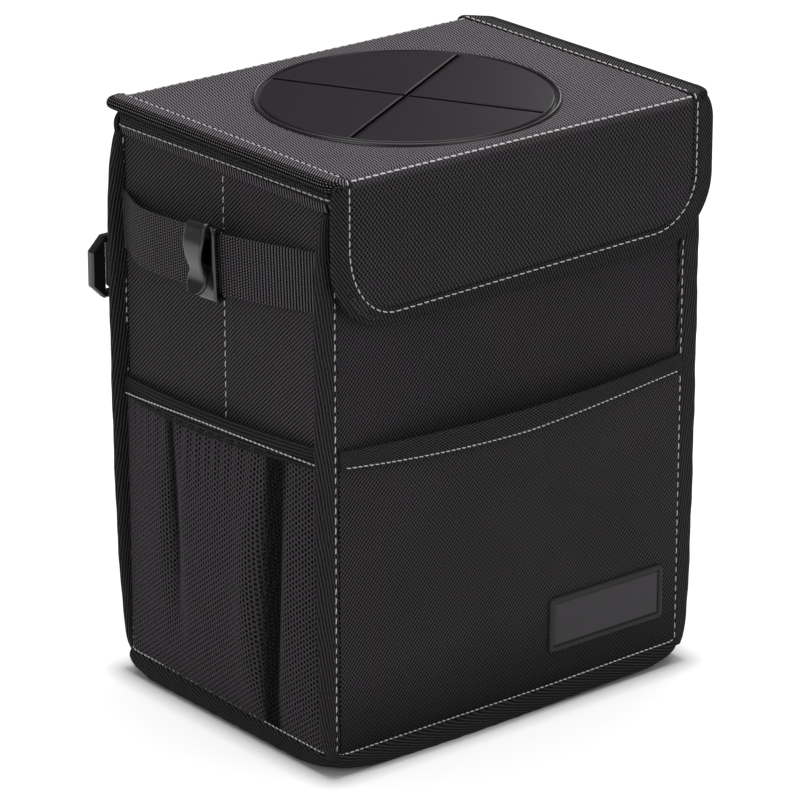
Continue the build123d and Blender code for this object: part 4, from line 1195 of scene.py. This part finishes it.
class BinLook(bpy.types.PropertyGroup):
    """Sizes of the sewing thread, and how bright the cloth, tape and thread are."""

    dash: FloatProperty(name="Stitch length", description="Length of thread that shows in one stitch",
                        default=0.0031, unit="LENGTH")
    pitch: FloatProperty(name="Stitch pitch", description="Distance from one stitch to the next",
                         default=0.00415, unit="LENGTH")
    thread: FloatProperty(name="Thread", description="Thickness of the sewing thread",
                          default=0.00054, unit="LENGTH")
    cloth: FloatProperty(name="Cloth tone", description="Brightness of the woven cloth against the photo's",
                         default=1.0)
    tape: FloatProperty(name="Tape tone", description="Brightness of the tapes against the photo's",
                        default=1.0)
    thread_grey: FloatProperty(name="Thread grey", description="Linear grey of the sewing thread",
                               default=0.93)


class BinStage(bpy.types.PropertyGroup):
    """Camera and light of the studio."""

    azimuth: FloatProperty(name="Azimuth", description="Camera angle round the bin, in degrees",
                           default=-39.04)
    elevation: FloatProperty(name="Elevation", description="Camera angle above level, in degrees",
                             default=20.64)
    distance: FloatProperty(name="Distance", description="Camera distance", default=1.9568, unit="LENGTH")
    lens: FloatProperty(name="Lens", description="Focal length in millimetres", default=214.9)
    target: FloatVectorProperty(name="Target", description="Point the camera looks at",
                                default=(-0.0075, -0.0062, 0.1221), subtype="TRANSLATION")
    fill: FloatProperty(name="Fill", description="Light from all round", default=0.35)
    gloss: FloatProperty(name="Gloss", description="Light from all round that shiny faces mirror",
                         default=0.15)
    floor_grey: FloatProperty(name="Floor grey", description="Linear grey of the floor", default=0.62)
    floor_glow: FloatProperty(name="Floor glow", description="Light that the camera sees on the floor",
                              default=0.64)
    top_light: FloatProperty(name="Top light", description="Power of the light above", default=14.0,
                             unit="POWER")
    front_light: FloatProperty(name="Front light", description="Power of the light in front", default=4.0,
                               unit="POWER")
    left_light: FloatProperty(name="Left light", description="Power of the light at the left", default=5.0,
                              unit="POWER")
    back_light: FloatProperty(name="Back light", description="Power of the small light behind", default=0.7,
                              unit="POWER")


class BIN_OT_materials(bpy.types.Operator):
    """Make all finishes"""

    bl_idname, bl_label = "bin.materials", "Materials"

    def execute(self, context):
        make_materials(context.scene.bin_look)
        return {"FINISHED"}


class BIN_OT_walls(bpy.types.Operator):
    """Build the walls, base cloth and lining"""

    bl_idname, bl_label = "bin.walls", "Walls"

    def execute(self, context):
        build_walls()
        return {"FINISHED"}


class BIN_OT_bindings(bpy.types.Operator):
    """Build the base roll, rim tape and upright seams"""

    bl_idname, bl_label = "bin.bindings", "Bindings"

    def execute(self, context):
        build_bindings()
        return {"FINISHED"}


class BIN_OT_front_pocket(bpy.types.Operator):
    """Build the front pocket and its patch"""

    bl_idname, bl_label = "bin.front_pocket", "Front pocket"

    def execute(self, context):
        build_front_pocket()
        return {"FINISHED"}


class BIN_OT_nets(bpy.types.Operator):
    """Build the net pockets"""

    bl_idname, bl_label = "bin.nets", "Net pockets"

    def execute(self, context):
        build_nets()
        return {"FINISHED"}


class BIN_OT_straps(bpy.types.Operator):
    """Build the webbing, the hanging strap and its lock"""

    bl_idname, bl_label = "bin.straps", "Straps"

    def execute(self, context):
        build_straps()
        return {"FINISHED"}


class BIN_OT_clips(bpy.types.Operator):
    """Build the bag clips"""

    bl_idname, bl_label = "bin.clips", "Bag clips"

    def execute(self, context):
        build_clips()
        return {"FINISHED"}


class BIN_OT_lid(bpy.types.Operator):
    """Build the lid and its hinge"""

    bl_idname, bl_label = "bin.lid", "Lid"

    def execute(self, context):
        build_lid()
        return {"FINISHED"}


class BIN_OT_flap(bpy.types.Operator):
    """Build the flap and its fastener"""

    bl_idname, bl_label = "bin.flap", "Flap"

    def execute(self, context):
        build_flap()
        return {"FINISHED"}


class BIN_OT_mouth(bpy.types.Operator):
    """Build the rubber mouth"""

    bl_idname, bl_label = "bin.mouth", "Rubber mouth"

    def execute(self, context):
        build_mouth()
        return {"FINISHED"}


class BIN_OT_stitches(bpy.types.Operator):
    """Sew the stitches"""

    bl_idname, bl_label = "bin.stitches", "Stitches"

    def execute(self, context):
        build_stitches(context.scene.bin_look)
        return {"FINISHED"}


class BIN_OT_stage(bpy.types.Operator):
    """Set up the floor, lights and camera"""

    bl_idname, bl_label = "bin.stage", "Stage"

    def execute(self, context):
        build_stage(context.scene.bin_stage)
        return {"FINISHED"}


STEPS = (BIN_OT_materials, BIN_OT_walls, BIN_OT_bindings, BIN_OT_front_pocket, BIN_OT_nets, BIN_OT_straps,
         BIN_OT_clips, BIN_OT_lid, BIN_OT_flap, BIN_OT_mouth, BIN_OT_stitches, BIN_OT_stage)


class VIEW3D_PT_bin(bpy.types.Panel):
    """Buttons for each step, and the sizes they use"""

    bl_idname, bl_label = "VIEW3D_PT_bin", "Car trash bin"
    bl_space_type, bl_region_type, bl_category = "VIEW_3D", "UI", "Bin"

    def draw(self, context):
        for group in (context.scene.bin_look, context.scene.bin_stage):
            for name in group.__annotations__:
                self.layout.prop(group, name)
        for step in STEPS:
            self.layout.operator(step.bl_idname)


CLASSES = (BinLook, BinStage, *STEPS, VIEW3D_PT_bin)


def register():
    for cls in CLASSES:
        bpy.utils.register_class(cls)
    bpy.types.Scene.bin_look = PointerProperty(type=BinLook)
    bpy.types.Scene.bin_stage = PointerProperty(type=BinStage)


def unregister():
    del bpy.types.Scene.bin_look, bpy.types.Scene.bin_stage
    for cls in reversed(CLASSES):
        bpy.utils.unregister_class(cls)


def main():
    register()
    bpy.ops.bin.materials()
    bpy.ops.bin.walls()
    bpy.ops.bin.bindings()
    bpy.ops.bin.front_pocket()
    bpy.ops.bin.nets()
    bpy.ops.bin.straps()
    bpy.ops.bin.clips()
    bpy.ops.bin.lid()
    bpy.ops.bin.flap()
    bpy.ops.bin.mouth()
    bpy.ops.bin.stitches()
    bpy.ops.bin.stage()
    bpy.context.view_layer.update()


if __name__ == "__main__":
    main()
